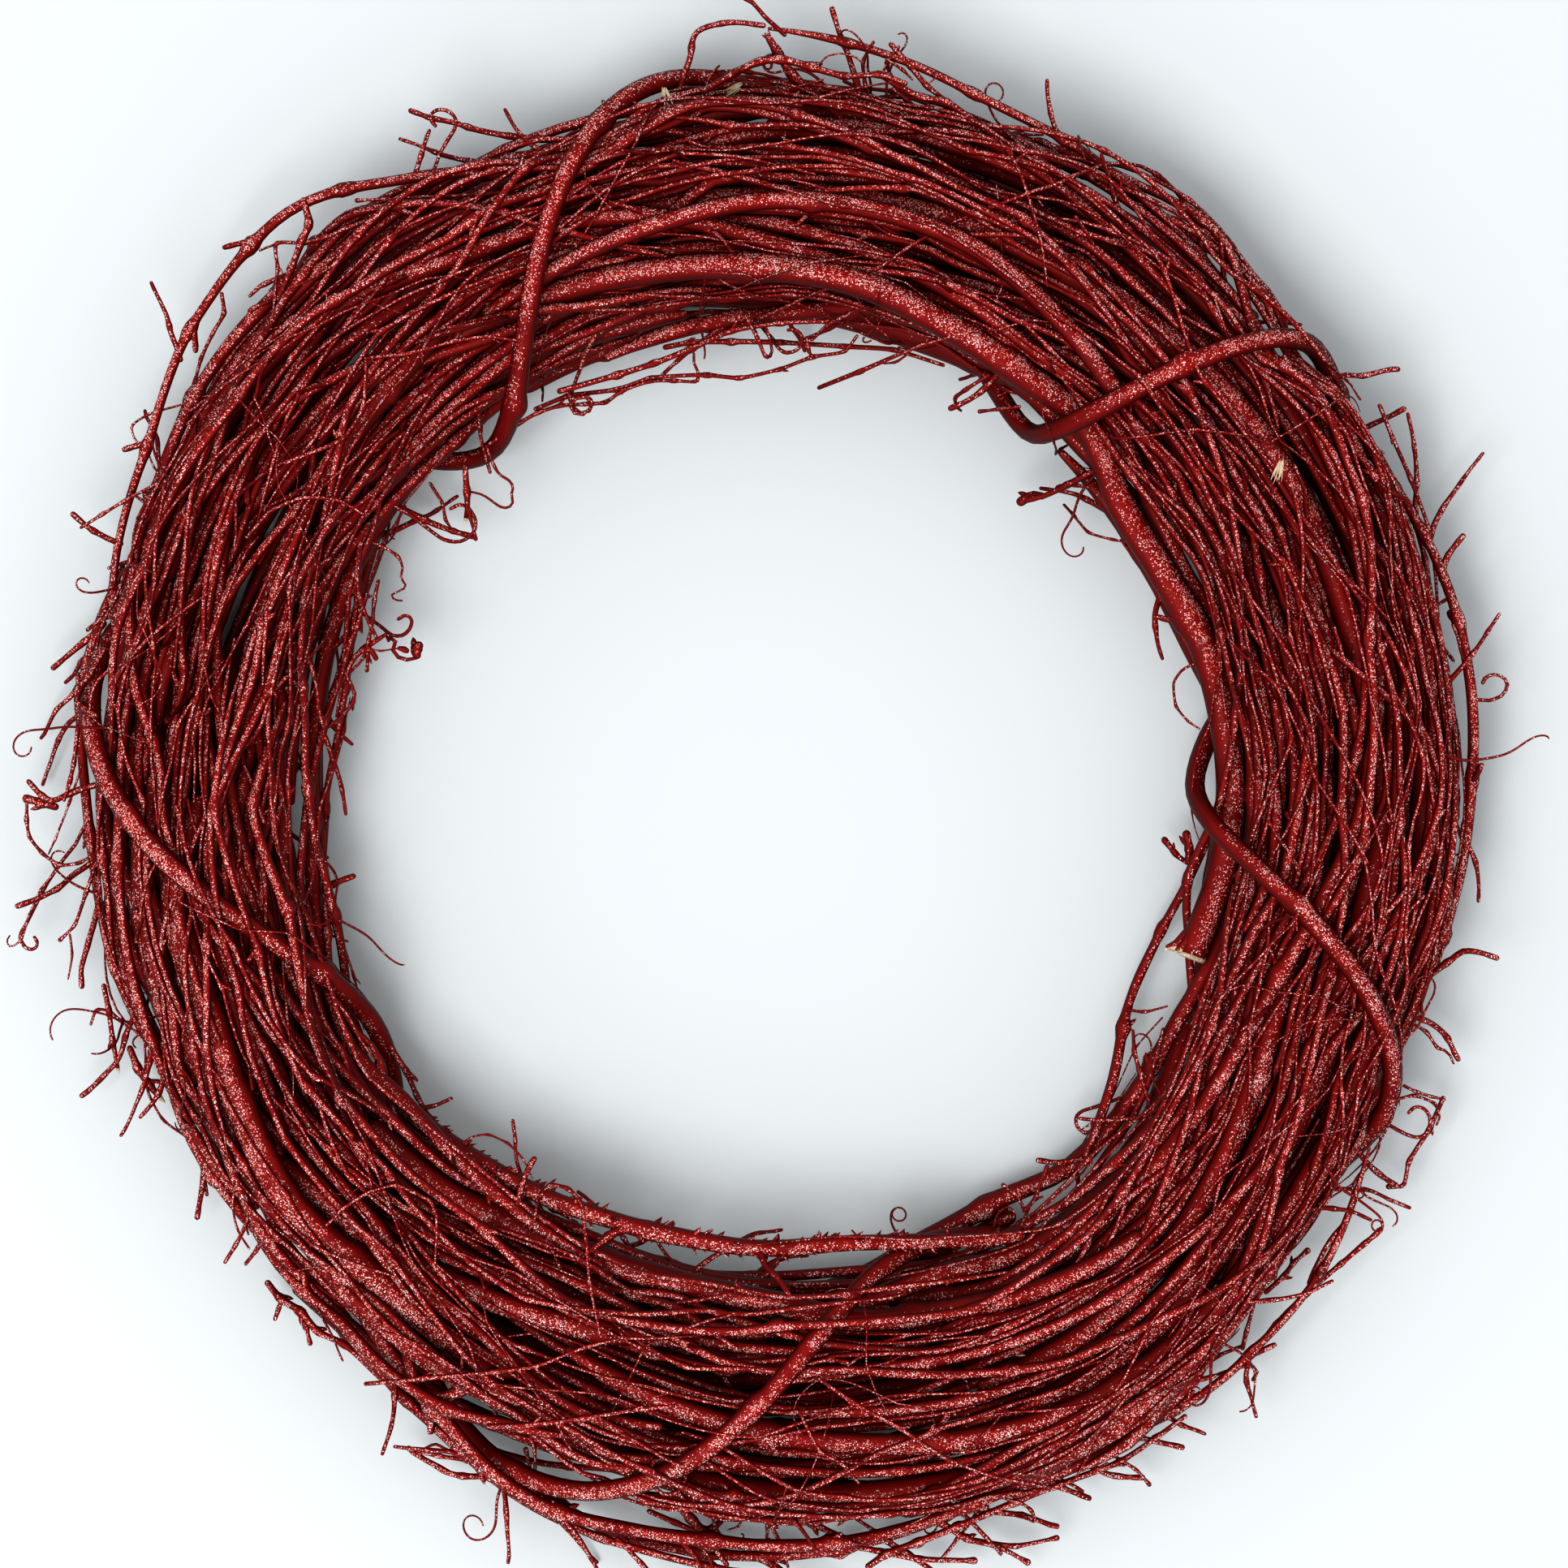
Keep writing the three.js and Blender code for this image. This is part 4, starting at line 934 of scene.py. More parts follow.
def glitterAndShadeOn(points):
    top, around = glitterAndShadeMap
    cell = ((points[:, :2] + glitterAndShadeRules["half"]) / glitterAndShadeRules["cell"]).astype(int).clip(0, len(top) - 1)
    # less under what covers a place and deep between vines: glitter that could not fall there, and painted
    # shade
    covered = np.maximum(0, top[cell[:, 0], cell[:, 1]] - points[:, 2] - 1.2)
    deep = np.maximum(0, around[cell[:, 0], cell[:, 1]] - points[:, 2])
    bare = np.exp(-covered / glitterAndShadeRules["cover"]) * (1 - deep / glitterAndShadeRules["depth"])
    # painted shade on the edge of the hole, and painted glints at the bottom of the ring, which faces the
    # light
    paintedShadeAtRim = np.interp(np.hypot(points[:, 0], points[:, 1]), glitterAndShadeRules["shadedRim"], (glitterAndShadeRules["shadedRimShare"], 1))
    paintedGlintAtBottom = np.interp(-points[:, 1], glitterAndShadeRules["bottom"], (0, 1))
    return np.clip(bare * np.maximum(paintedShadeAtRim, paintedGlintAtBottom), glitterAndShadeRules["least"], 1)


bodyName = next(iter(frame["bodies"]))


# Thinner vines in the gaps. They settle round the canes, which stay where they are.

filler = {"count": 100, "seed": 11, "radius": (1.2, 2.0), "span": (24, 58), "winding": (0.2, 0.9),
          "depth": (0.35, 0.97), "taper": 0.4, "hold": 0.04, "straighten": 0.3, "gap": 0.15, "rounds": 160,
          "tighten": 100, "near": 12, "worst": 1.0, "worstInside": 2.6, "inside": 0.62, "twigs": 1,
          "middles": (90, 90, 0, 180), "spread": 60, "sway": (0.05, 0.35), "drift": 0.06}


# Where the floor or a cane's end has to stay in sight: the angles, then the reach from the middle
keptOpen = [(244, 286, 112.8, 118.5), (336, 361, 107, 118.5)]
openingCover = 8  # a vine may pass over that much of them


def coversOpening(course):
    steps = np.linalg.norm(np.diff(course, axis=0), axis=1)
    middle = (course[1:] + course[:-1]) / 2
    angle = np.arctan2(middle[:, 1], middle[:, 0]) / degree
    reach = np.hypot(middle[:, 0], middle[:, 1])
    within = [((angle - first) % 360 < last - first) & (reach > low) & (reach < high)
              for first, last, low, high in keptOpen]
    return steps[np.any(within, axis=0)].sum() > openingCover


def drawnFiller(number, rng):
    radius = rng.uniform(*filler["radius"])
    first = int(rng.integers(2 * stations))
    span = int(rng.integers(*filler["span"]))
    vine = newCane(f"filler_{number}", radius, filler["taper"], 9, first, span, filler["twigs"])
    middle = rng.choice(filler["middles"]) + rng.uniform(-filler["spread"], filler["spread"])
    twist = rng.uniform(*filler["winding"]) * rng.choice((-1, 1))
    sway, swayPhase = rng.uniform(*filler["sway"]), rng.uniform(0, 2 * math.pi)
    steps = np.arange(span + 1)
    angle = (first + steps) * stationAngle / 2
    wound = twist * (steps - span / 2) * stationAngle / 2
    turn = middle * degree + wound + sway * np.sin(3 * angle + swayPhase)
    share = rng.uniform(*filler["depth"]) * (1 + filler["drift"] * np.sin(4 * angle + 2 * swayPhase))
    vine["aims"] = aimsAt(angle, share, turn)
    return dict(vine, hold=filler["hold"], confined=True, stations=2 * stations)


def finerTable(table):  # the settled canes, read at twice as many stations
    fine = {}
    for name in ("out", "up", "girth"):
        fine[name] = np.repeat(table[name], 2, 1)
        fine[name][:, 1::2] = (table[name] + np.roll(table[name], -1, 1)) / 2
    fine["lives"] = np.repeat(table["lives"], 2, 1)
    fine["lives"][:, 1::2] &= np.roll(table["lives"], -1, 1)
    return fine


def nearPieces(first, second, pieces):
    a0, _, b0, _, _ = pieces
    near = abs(first["out"].ravel()[a0] - second["out"].ravel()[b0]) < filler["near"]
    near &= abs(first["up"].ravel()[a0] - second["up"].ravel()[b0]) < filler["near"]
    return tuple(index[near] for index in pieces)


def settleFillers(vines):
    table = stationTable(vines, 2 * stations)
    fixed = finerTable(caneTable)
    own, others = pairPieces(table, table), pairPieces(table, fixed)
    beads = bindingBeads(bindingPath, 2 * stations)
    rounds = filler["rounds"]
    for turn in range(rounds + filler["tighten"]):
        if turn % 20 == 0:
            nearOwn, nearOthers = nearPieces(table, table, own), nearPieces(table, fixed, others)
        swell = min(1, 0.4 + turn / rounds)
        partCanes(table, nearOwn, swell, settling["ease"])
        hit, t, size, out, up = parting(table, fixed, nearOthers, swell)
        a0, a1 = nearOthers[0][hit], nearOthers[1][hit]
        applyPushes(table, [(index, share, 2 * size * out, 2 * size * up)
                            for index, share in ((a0, 1 - t), (a1, t))], settling["ease"])
        if turn < rounds:
            drawBack(table)
        pushOffBinding(table, beads, swell)
        keepInOutline(table)
    squeezed = np.zeros(len(vines))  # how far each still runs into a cane or another
    for second, pieces in ((table, nearPieces(table, table, own)), (fixed, nearPieces(table, fixed, others))):
        hit, t, size, out, up = parting(table, second, pieces, 1)
        deep = size * 2 * np.hypot(out, up) * ((1 - t) ** 2 + t * t)
        np.maximum.at(squeezed, pieces[0][hit] // (2 * stations), deep)
    for line, vine in enumerate(vines):
        at = (vine["first"] + np.arange(vine["span"] + 1)) % (2 * stations)
        vine["places"] = np.stack([table["out"][line, at], table["up"][line, at]], 1)
        vine["row"] = pointsAt(at * stationAngle / 2, *vine["places"].T)
        _, out, up = placeOf(vine["row"])
        buried = np.hypot(out / ring["halfWidth"], up / ring["halfHeight"]).mean() < filler["inside"]
        vine["kept"] = squeezed[line] < (filler["worstInside"] if buried else filler["worst"])
        vine["kept"] &= not coversOpening(vine["row"])
    return [vine for vine in vines if vine["kept"]]


# From here on the settling keeps the fillers' own gap and straightens them more
settling["gap"] = filler["gap"]
settling["straighten"] = filler["straighten"]
fillerDraw = np.random.default_rng(filler["seed"])
fillers = settleFillers([drawnFiller(n, fillerDraw) for n in range(filler["count"])])
print("vines settled in the gaps:", len(fillers), "of", filler["count"])


# Slender vines, wires and threads that lie over the bundle. Each is laid on a map of how far out from its
# centre line the bundle reaches, and bridges the dips between the vines below it.

laid = {"around": 900, "across": 300, "step": 2.0, "least": 8, "sink": 0.25, "underSlope": 0.45,
        "lowest": -38, "boxRoom": 8, "spread": 62, "wander": 7, "wanderStep": 45,
        "coil": 540, "coilFrom": 0.45}  # threads may coil up towards their end, by as many degrees
laidParts = ("name", "count", "seed", "radius", "length", "slant", "crossing", "crossingShare", "zigzag",
             "curve", "knots", "bend", "lift", "over", "taper", "twigs", "sides")
laidFamilies = [dict(zip(laidParts, row)) for row in (
    ("slender", 58, 12, (0.66, 1.6), (170, 500), 5, (16, 34), 0.08, (3, 9), 0.05, (26, 52), 90, 0.8, 0.1,
     0.35, 1, (0.66, 0.2, 0.14)),
    ("wiry", 66, 13, (0.42, 0.7), (80, 310), 7, (20, 50), 0.14, (4, 13), 0.1, (18, 42), 60, 1.4, 0.2, 0.4,
     0, (0.64, 0.2, 0.16)),
    ("thread", 60, 14, (0.24, 0.36), (18, 75), 40, (60, 120), 0.3, (4, 16), 0.9, (9, 24), 25, 2.2, 0.4, 0.3,
     0, (0.66, 0.18, 0.16)),
)]
onTop = ("cut_end_cane", "upper_smooth_cane", "lower_thick_cane", "thorny_cane")  # most go under these


def mapCells(points):
    angle, out, up = placeOf(points)
    around = (angle / (2 * math.pi) * laid["around"]).astype(int) % laid["around"]
    across = (np.arctan2(up, out) / (2 * math.pi) * laid["across"]).astype(int) % laid["across"]
    return around * laid["across"] + across, np.hypot(out, up)


def surfaceSpots(points, radii, offsets):  # places on a tube's outer side, some way to its left and right
    ways = np.gradient(points, axis=0)
    angle, out, up = placeOf(points)
    outward = np.stack([out * np.cos(angle), out * np.sin(angle), up], 1)
    across = np.cross(ways, outward)
    across /= np.linalg.norm(across, axis=1)[:, None] + 1e-9
    outward = np.cross(across, ways)
    outward /= np.linalg.norm(outward, axis=1)[:, None] + 1e-9
    side = np.asarray(offsets)[:, None, None]
    size = radii[:, None]
    return points + side * size * across + np.sqrt(np.maximum(0, 1 - side ** 2)) * size * outward


def resampled(points, radii, step):
    along = alongOf(points)
    spots = np.linspace(0, along[-1], max(3, round(along[-1] / step)))
    return courseAt(spots, along, points), np.interp(spots, along, radii)


def raiseMap(reachMap, points, radii):
    path, sizes = resampled(points, radii, 0.8)
    cells, reach = mapCells(surfaceSpots(path, sizes, np.linspace(-0.95, 0.95, 11)).reshape(-1, 3))
    np.maximum.at(reachMap, cells, reach)


def lowerMap(reachMap, points, radii):
    path, sizes = resampled(points, radii, 0.8)
    _, out, up = placeOf(path)
    below = np.tile(np.hypot(out, up) - sizes, 9)
    cells, _ = mapCells(surfaceSpots(path, sizes * 1.4, np.linspace(-1, 1, 9)).reshape(-1, 3))
    np.minimum.at(reachMap, cells, below)


def wanderPath(family, rng):  # where a vine goes: round the ring and round the bundle
    step = laid["step"]
    count = int(rng.uniform(*family["length"]) / step)
    angle = rng.uniform(0, 2 * math.pi)
    turn = (90, 0, 180)[rng.choice(3, p=family["sides"])]
    turn = (turn + rng.uniform(-laid["spread"], laid["spread"])) * degree
    forward = rng.choice((-1, 1))
    slant = rng.normal(0, family["slant"])
    if rng.random() < family["crossingShare"]:
        slant = rng.uniform(*family["crossing"]) * rng.choice((-1, 1))
    along = step * np.arange(count)
    knots = knotSpots(along[-1], family["knots"], rng)
    passed = (along[:, None] > knots).sum(1)
    zigzag = rng.uniform(*family["zigzag"], len(knots) + 1) * np.where(np.arange(len(knots) + 1) % 2, 1, -1)
    curve = rng.normal(0, family["curve"])
    heading = slant + zigzag[passed] + curve * (along - along[-1] / 2)
    heading = heading + laid["wander"] * smoothNoise(along, laid["wanderStep"], rng)
    if family["name"] == "thread":
        coil = rng.choice((-1, 1)) * rng.uniform(0, laid["coil"])
        heading = heading + coil * np.maximum(0, along / along[-1] - laid["coilFrom"]) ** 1.5
    heading = heading * degree
    angles, turns = [], []
    mirror = 1
    for way in heading:
        angles.append(angle)
        turns.append(turn)
        reach = 1 / math.hypot(math.cos(turn) / ring["halfWidth"], math.sin(turn) / ring["halfHeight"])
        angle += forward * math.cos(way) * step / (ring["radius"] + reach * math.cos(turn))
        turn += mirror * math.sin(way) * step / reach
        if not laid["lowest"] * degree < turn < (180 - laid["lowest"]) * degree:
            mirror = -mirror
            turn += 2 * mirror * math.sin(way) * step / reach
    return np.array(angles), np.array(turns), knots


def layVine(family, number, over, rng):
    angle, turn, knots = wanderPath(family, rng)
    radius = family["radius"][0] + (family["radius"][1] - family["radius"][0]) * rng.random() ** 2
    radii = radius * (1 - family["taper"] * np.linspace(0, 1, len(angle)) ** 2)
    reach = 1 / np.hypot(np.cos(turn) / halfWidth(angle), np.sin(turn) / ring["halfHeight"])
    course = pointsAt(angle, reach * np.cos(turn), reach * np.sin(turn))
    offsets = np.array([-1, -0.6, -0.2, 0.2, 0.6, 1])
    cells, _ = mapCells(surfaceSpots(course, radii, offsets).reshape(-1, 3))
    below = (overMap if over else reachMap)[cells].reshape(len(offsets), -1)
    need = (below + np.sqrt(1 - offsets[:, None] ** 2) * radii).max(0) - laid["sink"]
    apart = laid["step"] * abs(np.arange(len(angle))[:, None] - np.arange(len(angle)))
    reach = (need - apart ** 2 / (2 * family["bend"])).max(1)
    along = laid["step"] * np.arange(len(angle))
    reach = reach + family["lift"] * np.maximum(0, smoothNoise(along, 25, rng)) ** 2
    if not over:
        cap = coverUnder[mapCells(course)[0]] - radii
        reach = np.minimum(reach, (cap + laid["underSlope"] * apart).min(1))
    for _ in range(2):
        reach[1:-1] = (reach[:-2] + 2 * reach[1:-1] + reach[2:]) / 4
    course = pointsAt(angle, reach * np.cos(turn), reach * np.sin(turn))
    course = keepInBox(course, radius)
    if coversOpening(course):
        return None
    raiseMap(reachMap, course, radii)
    raiseMap(overMap, course, radii)
    rowSpots = np.unique(np.append(np.arange(0, len(course), 4), len(course) - 1))
    return {"name": f"{family['name']}_{number}", "course": course, "knots": knots, "radii": radii,
            "row": course[rowSpots], "girths": radii[rowSpots], "span": len(rowSpots) - 1,
            "twigs": family["twigs"], "grown": [], "middle": float(angle.mean())}


def keepInBox(points, radius):
    low = np.array(cadBounds[0]) / millimetre + ringMiddle - laid["boxRoom"]
    high = np.array(cadBounds[1]) / millimetre + ringMiddle + laid["boxRoom"]
    low[2], high[2] = radius + 0.1, ring["tallest"] - 0.8 - radius
    return np.clip(points, low, high)


reachMap = np.full(laid["around"] * laid["across"], float(laid["least"]))
bundled = [cane for cane in canes if "stray" not in cane["name"] and "outer" not in cane["name"]]
for stem in bundled + fillers:
    if stem["name"] not in onTop:
        raiseMap(reachMap, stem["row"], stem["girths"])
overMap = reachMap.copy()
coverUnder = np.full(laid["around"] * laid["across"], 99.0)
covers = [(cane["row"], cane["girths"]) for cane in canes if cane["name"] in onTop]
for points, radii in covers + [(bindingPath, np.full(len(bindingPath), binding["radius"]))]:
    raiseMap(overMap, points, radii)
    lowerMap(coverUnder, points, radii)
laidVines = []
for over in (False, True):
    for family in laidFamilies:
        familyDraw = np.random.default_rng(family["seed"] + over * 50)
        count = round(family["count"] * (family["over"] if over else 1 - family["over"]))
        wanted = len(laidVines) + count
        while len(laidVines) < wanted:
            vine = layVine(family, len(laidVines), over, familyDraw)
            laidVines += [vine] if vine else []
print("vines laid over the bundle:", len(laidVines))

# Vines given one by one, as spots of the photograph: loose ends outside the bundle and wires across it.
# Each row has a radius, the heights where the stem starts and ends, how it ends, and its way in pixels of the
# photograph. A stem with no heights lies on the bundle.

view = {"pixels": 1932, "width": 396, "middle": (5.86, 2.45), "height": 1700}  # how the camera looks down
looseRules = {"parts": 6, "straight": 0.45, "step": 2.4, "fineStep": 1.2, "taper": 0.28, "knotGap": 4,
              "swell": 0.4, "sides": 7, "uneven": 0.08, "bend": 45, "sink": 0.2, "budSwell": 0.7,
              "splinter": 2.2, "splinters": (-0.5, 0.1, 0.6), "seed": 61}
loosePlaces = {"buds": 0.35, "spurs": 0.08, "spurLength": (1.5, 4)}
looseVines = {}
looseVines["top"] = [
    (1.3, 30, 33, "torn", [(1042, 152), (1012, 125), (976, 92), (958, 64), (948, 48)]),
    (1, 38, 40, "", [(868, 112), (905, 90), (935, 76), (962, 73), (1000, 83), (1040, 94), (1085, 92),
        (1115, 103)]),
    (0.8, 34, 36, "", [(1085, 92), (1110, 108), (1135, 120), (1165, 125), (1195, 145), (1232, 176),
        (1262, 196), (1300, 216), (1350, 240)]),
    (0.45, 34, 26, "", [(1076, 52), (1063, 76), (1066, 102), (1074, 130), (1082, 156)]),
    (0.5, 34, 28, "", [(1107, 58), (1093, 76), (1097, 92), (1110, 112), (1122, 144)]),
    (0.75, 33, 32, "", [(1098, 55), (1120, 80), (1142, 106), (1168, 126)]),
    (0.4, 34, 33, "", [(1094, 74), (1112, 86), (1124, 98)]),
    (0.25, 36, 38, "", [(1008, 82), (1018, 70), (1036, 66), (1055, 71), (1070, 86)]),
    (0.25, 36, 34, "", [(1135, 84), (1150, 87), (1154, 94), (1143, 104)]),
    (0.35, 34, 33, "", [(1310, 192), (1332, 196), (1352, 203)]),
    (0.6, 34, 31, "", [(1188, 140), (1212, 163), (1226, 180), (1248, 214)]),
    (0.55, 34, 30, "", [(1236, 160), (1270, 190), (1300, 208), (1326, 232), (1352, 262)]),
    (0.5, 33, 30, "", [(1152, 150), (1186, 140), (1198, 158), (1205, 178), (1222, 205)]),
]
looseVines["topLeft"] = [
    (0.5, 30, 22, "", [(273, 362), (276, 386), (262, 411), (248, 441), (240, 470), (231, 494)]),
    (0.9, 34, 32, "", [(374, 247), (381, 276), (372, 296), (359, 331), (343, 368)]),
    (0.5, 38, 38, "bud", [(640, 234), (600, 239), (520, 243), (440, 247)]),
    (0.5, 34, 30, "", [(452, 272), (430, 280), (400, 293), (374, 299), (340, 300), (342, 331), (339, 362),
        (337, 392), (346, 432)]),
    (0.6, 28, 20, "", [(352, 362), (334, 370), (311, 381), (300, 402), (289, 426), (283, 446), (272, 474),
        (262, 510)]),
    (0.3, 24, 27, "", [(222, 499), (182, 511), (162, 525), (166, 541), (181, 556), (190, 576), (206, 597),
        (224, 606)]),
    (0.3, 24, 26, "", [(262, 530), (234, 534), (230, 543), (241, 549), (262, 552)]),
    (0.4, 28, 34, "", [(100, 650), (126, 634), (152, 618), (190, 598), (230, 581), (262, 573), (304, 583),
        (340, 604)]),
    (0.45, 20, 18, "", [(530, 596), (545, 620), (549, 640), (555, 650)]),
    (0.4, 26, 22, "", [(160, 606), (178, 618), (196, 616), (212, 612), (234, 624)]),
]
looseVines["left"] = [
    (0.9, 34, 26, "", [(118, 882), (104, 872), (95, 868), (97, 850), (110, 832), (128, 802)]),
    (0.6, 30, 26, "", [(96, 896), (91, 940), (86, 962), (79, 986)]),
    (0.95, 22, 22, "bud", [(68, 994), (50, 988), (33, 984)]),
    (0.45, 22, 20, "", [(33, 986), (33, 1010), (36, 1031), (52, 1051), (73, 1066), (98, 1063), (124, 1048)]),
    (0.32, 28, 18, "", [(101, 942), (86, 988), (68, 1034), (60, 1052)]),
    (0.3, 20, 14, "", [(75, 1066), (50, 1096), (36, 1128), (26, 1158), (13, 1167), (8, 1160), (12, 1153)]),
    (0.5, 20, 16, "bud", [(124, 1046), (106, 1100), (92, 1140), (74, 1158)]),
    (0.35, 16, 12, "", [(86, 1152), (89, 1176), (84, 1206)]),
    (0.75, 16, 14, "pale", [(128, 1215), (134, 1246), (139, 1282), (145, 1316)]),
    (0.95, 14, 12, "pale", [(160, 1292), (170, 1316), (183, 1336), (197, 1352)]),
    (0.35, 14, 12, "", [(176, 1318), (184, 1350), (201, 1380), (231, 1401), (262, 1408)]),
    (0.4, 14, 16, "", [(112, 1262), (119, 1244), (136, 1246), (150, 1258), (176, 1259), (205, 1246)]),
    (0.45, 16, 20, "", [(134, 700), (152, 694), (170, 688), (196, 676)]),
    (0.5, 20, 24, "", [(108, 776), (124, 764), (141, 758), (156, 744)]),
    (0.45, 20, 24, "", [(108, 808), (128, 800), (148, 803), (182, 796), (206, 786)]),
]
looseVines["bottomLeft"] = [
    (0.5, 14, 20, "", [(255, 1472), (250, 1440), (241, 1404), (228, 1352)]),
    (0.5, 12, 16, "", [(303, 1557), (317, 1539), (325, 1520), (334, 1492)]),
    (0.9, 12, 20, "", [(330, 1581), (346, 1601), (371, 1616), (391, 1641), (424, 1656), (470, 1700)]),
    (0.6, 12, 13, "", [(339, 1625), (344, 1612), (347, 1600)]),
    (0.6, 11, 13, "bud", [(371, 1616), (377, 1634), (382, 1655)]),
    (0.6, 12, 14, "bud", [(610, 1806), (577, 1799), (540, 1794), (516, 1789)]),
    (0.4, 12, 16, "", [(522, 1786), (536, 1779), (556, 1788), (566, 1774), (580, 1783), (612, 1790)]),
    (0.6, 12, 18, "bud", [(662, 1851), (656, 1822), (648, 1786)]),
    (0.75, 18, 22, "", [(452, 1236), (462, 1258), (481, 1290), (501, 1321), (514, 1351), (531, 1379),
        (552, 1398), (566, 1410)]),
    (0.3, 30, 34, "", [(566, 1412), (581, 1401), (602, 1398), (626, 1409), (644, 1427), (656, 1452)]),
    (0.55, 26, 20, "", [(628, 1452), (650, 1481), (681, 1511), (706, 1534)]),
    (0.3, 24, 26, "", [(598, 1474), (622, 1469), (646, 1490), (652, 1468)]),
]
looseVines["bottom"] = [
    (0.85, 14, 10, "bud", [(640, 1836), (662, 1851), (720, 1872), (770, 1891), (830, 1893), (880, 1901),
        (940, 1906), (1000, 1908), (1035, 1918), (1056, 1906)]),
    (0.7, 12, 9, "", [(800, 1862), (832, 1876), (870, 1892), (930, 1912), (968, 1926)]),
    (1.15, 18, 16, "torn", [(832, 1850), (852, 1872), (871, 1889), (889, 1873)]),
    (0.9, 12, 24, "", [(1070, 1930), (1092, 1915), (1131, 1900), (1180, 1881), (1250, 1851), (1300, 1831),
        (1380, 1801), (1424, 1772), (1460, 1745)]),
    (1, 24, 13, "", [(950, 1842), (1000, 1876), (1040, 1896), (1062, 1908)]),
    (0.8, 18, 10, "bud", [(1124, 1852), (1160, 1876), (1191, 1896), (1231, 1906), (1266, 1925)]),
    (0.65, 12, 10, "bud", [(1191, 1896), (1250, 1905), (1302, 1895)]),
    (0.8, 13, 10, "bud", [(1056, 1906), (1086, 1912), (1132, 1921), (1200, 1923)]),
    (0.5, 20, 10, "", [(1050, 1868), (1080, 1888), (1110, 1908), (1142, 1930)]),
    (0.45, 10, 18, "", [(1160, 1921), (1180, 1896), (1201, 1868), (1208, 1838)]),
    (0.4, 20, 14, "", [(1236, 1846), (1256, 1851), (1271, 1861), (1276, 1876), (1264, 1871), (1252, 1868)]),
    (0.55, 22, 10, "", [(930, 1838), (941, 1862), (961, 1901), (971, 1931)]),
    (0.5, 20, 12, "", [(944, 1850), (946, 1880), (944, 1902)]),
    (0.3, 22, 16, "", [(905, 1838), (915, 1864), (911, 1880), (897, 1885)]),
    (0.6, 40, 41, "curl", [(803, 1822), (806, 1801), (823, 1797), (841, 1803), (845, 1821), (833, 1839),
        (815, 1840), (803, 1826), (802, 1812)]),
    (0.55, 24, 14, "bud", [(1330, 1762), (1366, 1790), (1400, 1811), (1416, 1829)]),
    (0.35, 22, 20, "", [(1150, 1846), (1160, 1838), (1170, 1848), (1160, 1858), (1146, 1852)]),
    (0.5, 22, 16, "", [(1010, 1846), (1030, 1860), (1060, 1864), (1090, 1858), (1120, 1868), (1150, 1862)]),
]
looseVines["bottomRight"] = [
    (0.7, 20, 16, "bud", [(1560, 1592), (1582, 1572), (1594, 1556), (1611, 1541)]),
    (0.6, 14, 20, "", [(1531, 1661), (1536, 1640), (1547, 1600)]),
    (0.5, 12, 18, "", [(1544, 1700), (1550, 1688), (1541, 1683), (1521, 1686), (1482, 1700), (1446, 1702)]),
    (0.5, 12, 18, "", [(1529, 1659), (1500, 1671), (1482, 1686), (1446, 1698)]),
    (0.65, 14, 12, "bud", [(1778, 1353), (1761, 1391), (1736, 1431), (1729, 1461), (1711, 1462)]),
    (0.45, 20, 14, "", [(1730, 1338), (1746, 1346), (1764, 1351), (1780, 1355)]),
    (0.45, 18, 14, "", [(1742, 1262), (1758, 1272), (1771, 1291), (1784, 1296), (1791, 1310)]),
    (0.4, 18, 14, "", [(1716, 1356), (1742, 1350), (1768, 1360), (1774, 1376), (1770, 1386)]),
]
looseVines["right"] = [
    (0.4, 24, 24, "", [(1792, 1006), (1800, 1030), (1806, 1052), (1789, 1053)]),
    (0.45, 24, 26, "", [(1790, 770), (1798, 790), (1800, 806), (1808, 818)]),
    (0.7, 20, 20, "", [(1700, 560), (1722, 600), (1742, 640), (1756, 690), (1764, 740), (1776, 800),
        (1782, 860), (1780, 930), (1774, 1000), (1768, 1060)]),
    (0.55, 28, 22, "", [(1700, 500), (1716, 540), (1738, 590), (1760, 650), (1768, 700), (1772, 760)]),
]
looseVines["holeTop"] = [
    (0.5, 30, 30, "", [(602, 548), (641, 521), (664, 508), (690, 500), (722, 498), (746, 496), (766, 482),
        (801, 470), (830, 469), (859, 470), (861, 461), (854, 444), (855, 436)]),
    (0.6, 28, 32, "", [(660, 504), (700, 488), (760, 480), (801, 466), (820, 464), (871, 462), (911, 466),
        (961, 455), (1001, 440), (1041, 433), (1056, 414)]),
    (0.75, 34, 36, "", [(690, 482), (761, 462), (806, 448), (851, 430), (901, 408), (962, 398),
        (1020, 396)]),
    (0.7, 24, 26, "", [(820, 428), (851, 422), (901, 421), (961, 422), (1041, 427), (1101, 431),
        (1162, 450)]),
    (0.45, 33, 32, "", [(994, 417), (997, 434), (1003, 441)]),
    (0.55, 31, 33, "curl", [(700, 480), (704, 498), (712, 508), (724, 508), (730, 498), (722, 489),
        (708, 492), (702, 503), (716, 512), (727, 503)]),
    (0.45, 38, 30, "curl", [(920, 392), (934, 418), (944, 440), (951, 436), (946, 410), (938, 396),
        (926, 398), (932, 410)]),
    (0.5, 34, 24, "", [(1218, 462), (1190, 480), (1177, 490), (1178, 501), (1184, 506)]),
    (0.5, 24, 22, "bud", [(1256, 501), (1240, 503), (1207, 507)]),
    (0.3, 24, 22, "", [(1116, 438), (1104, 446), (1089, 448)]),
]
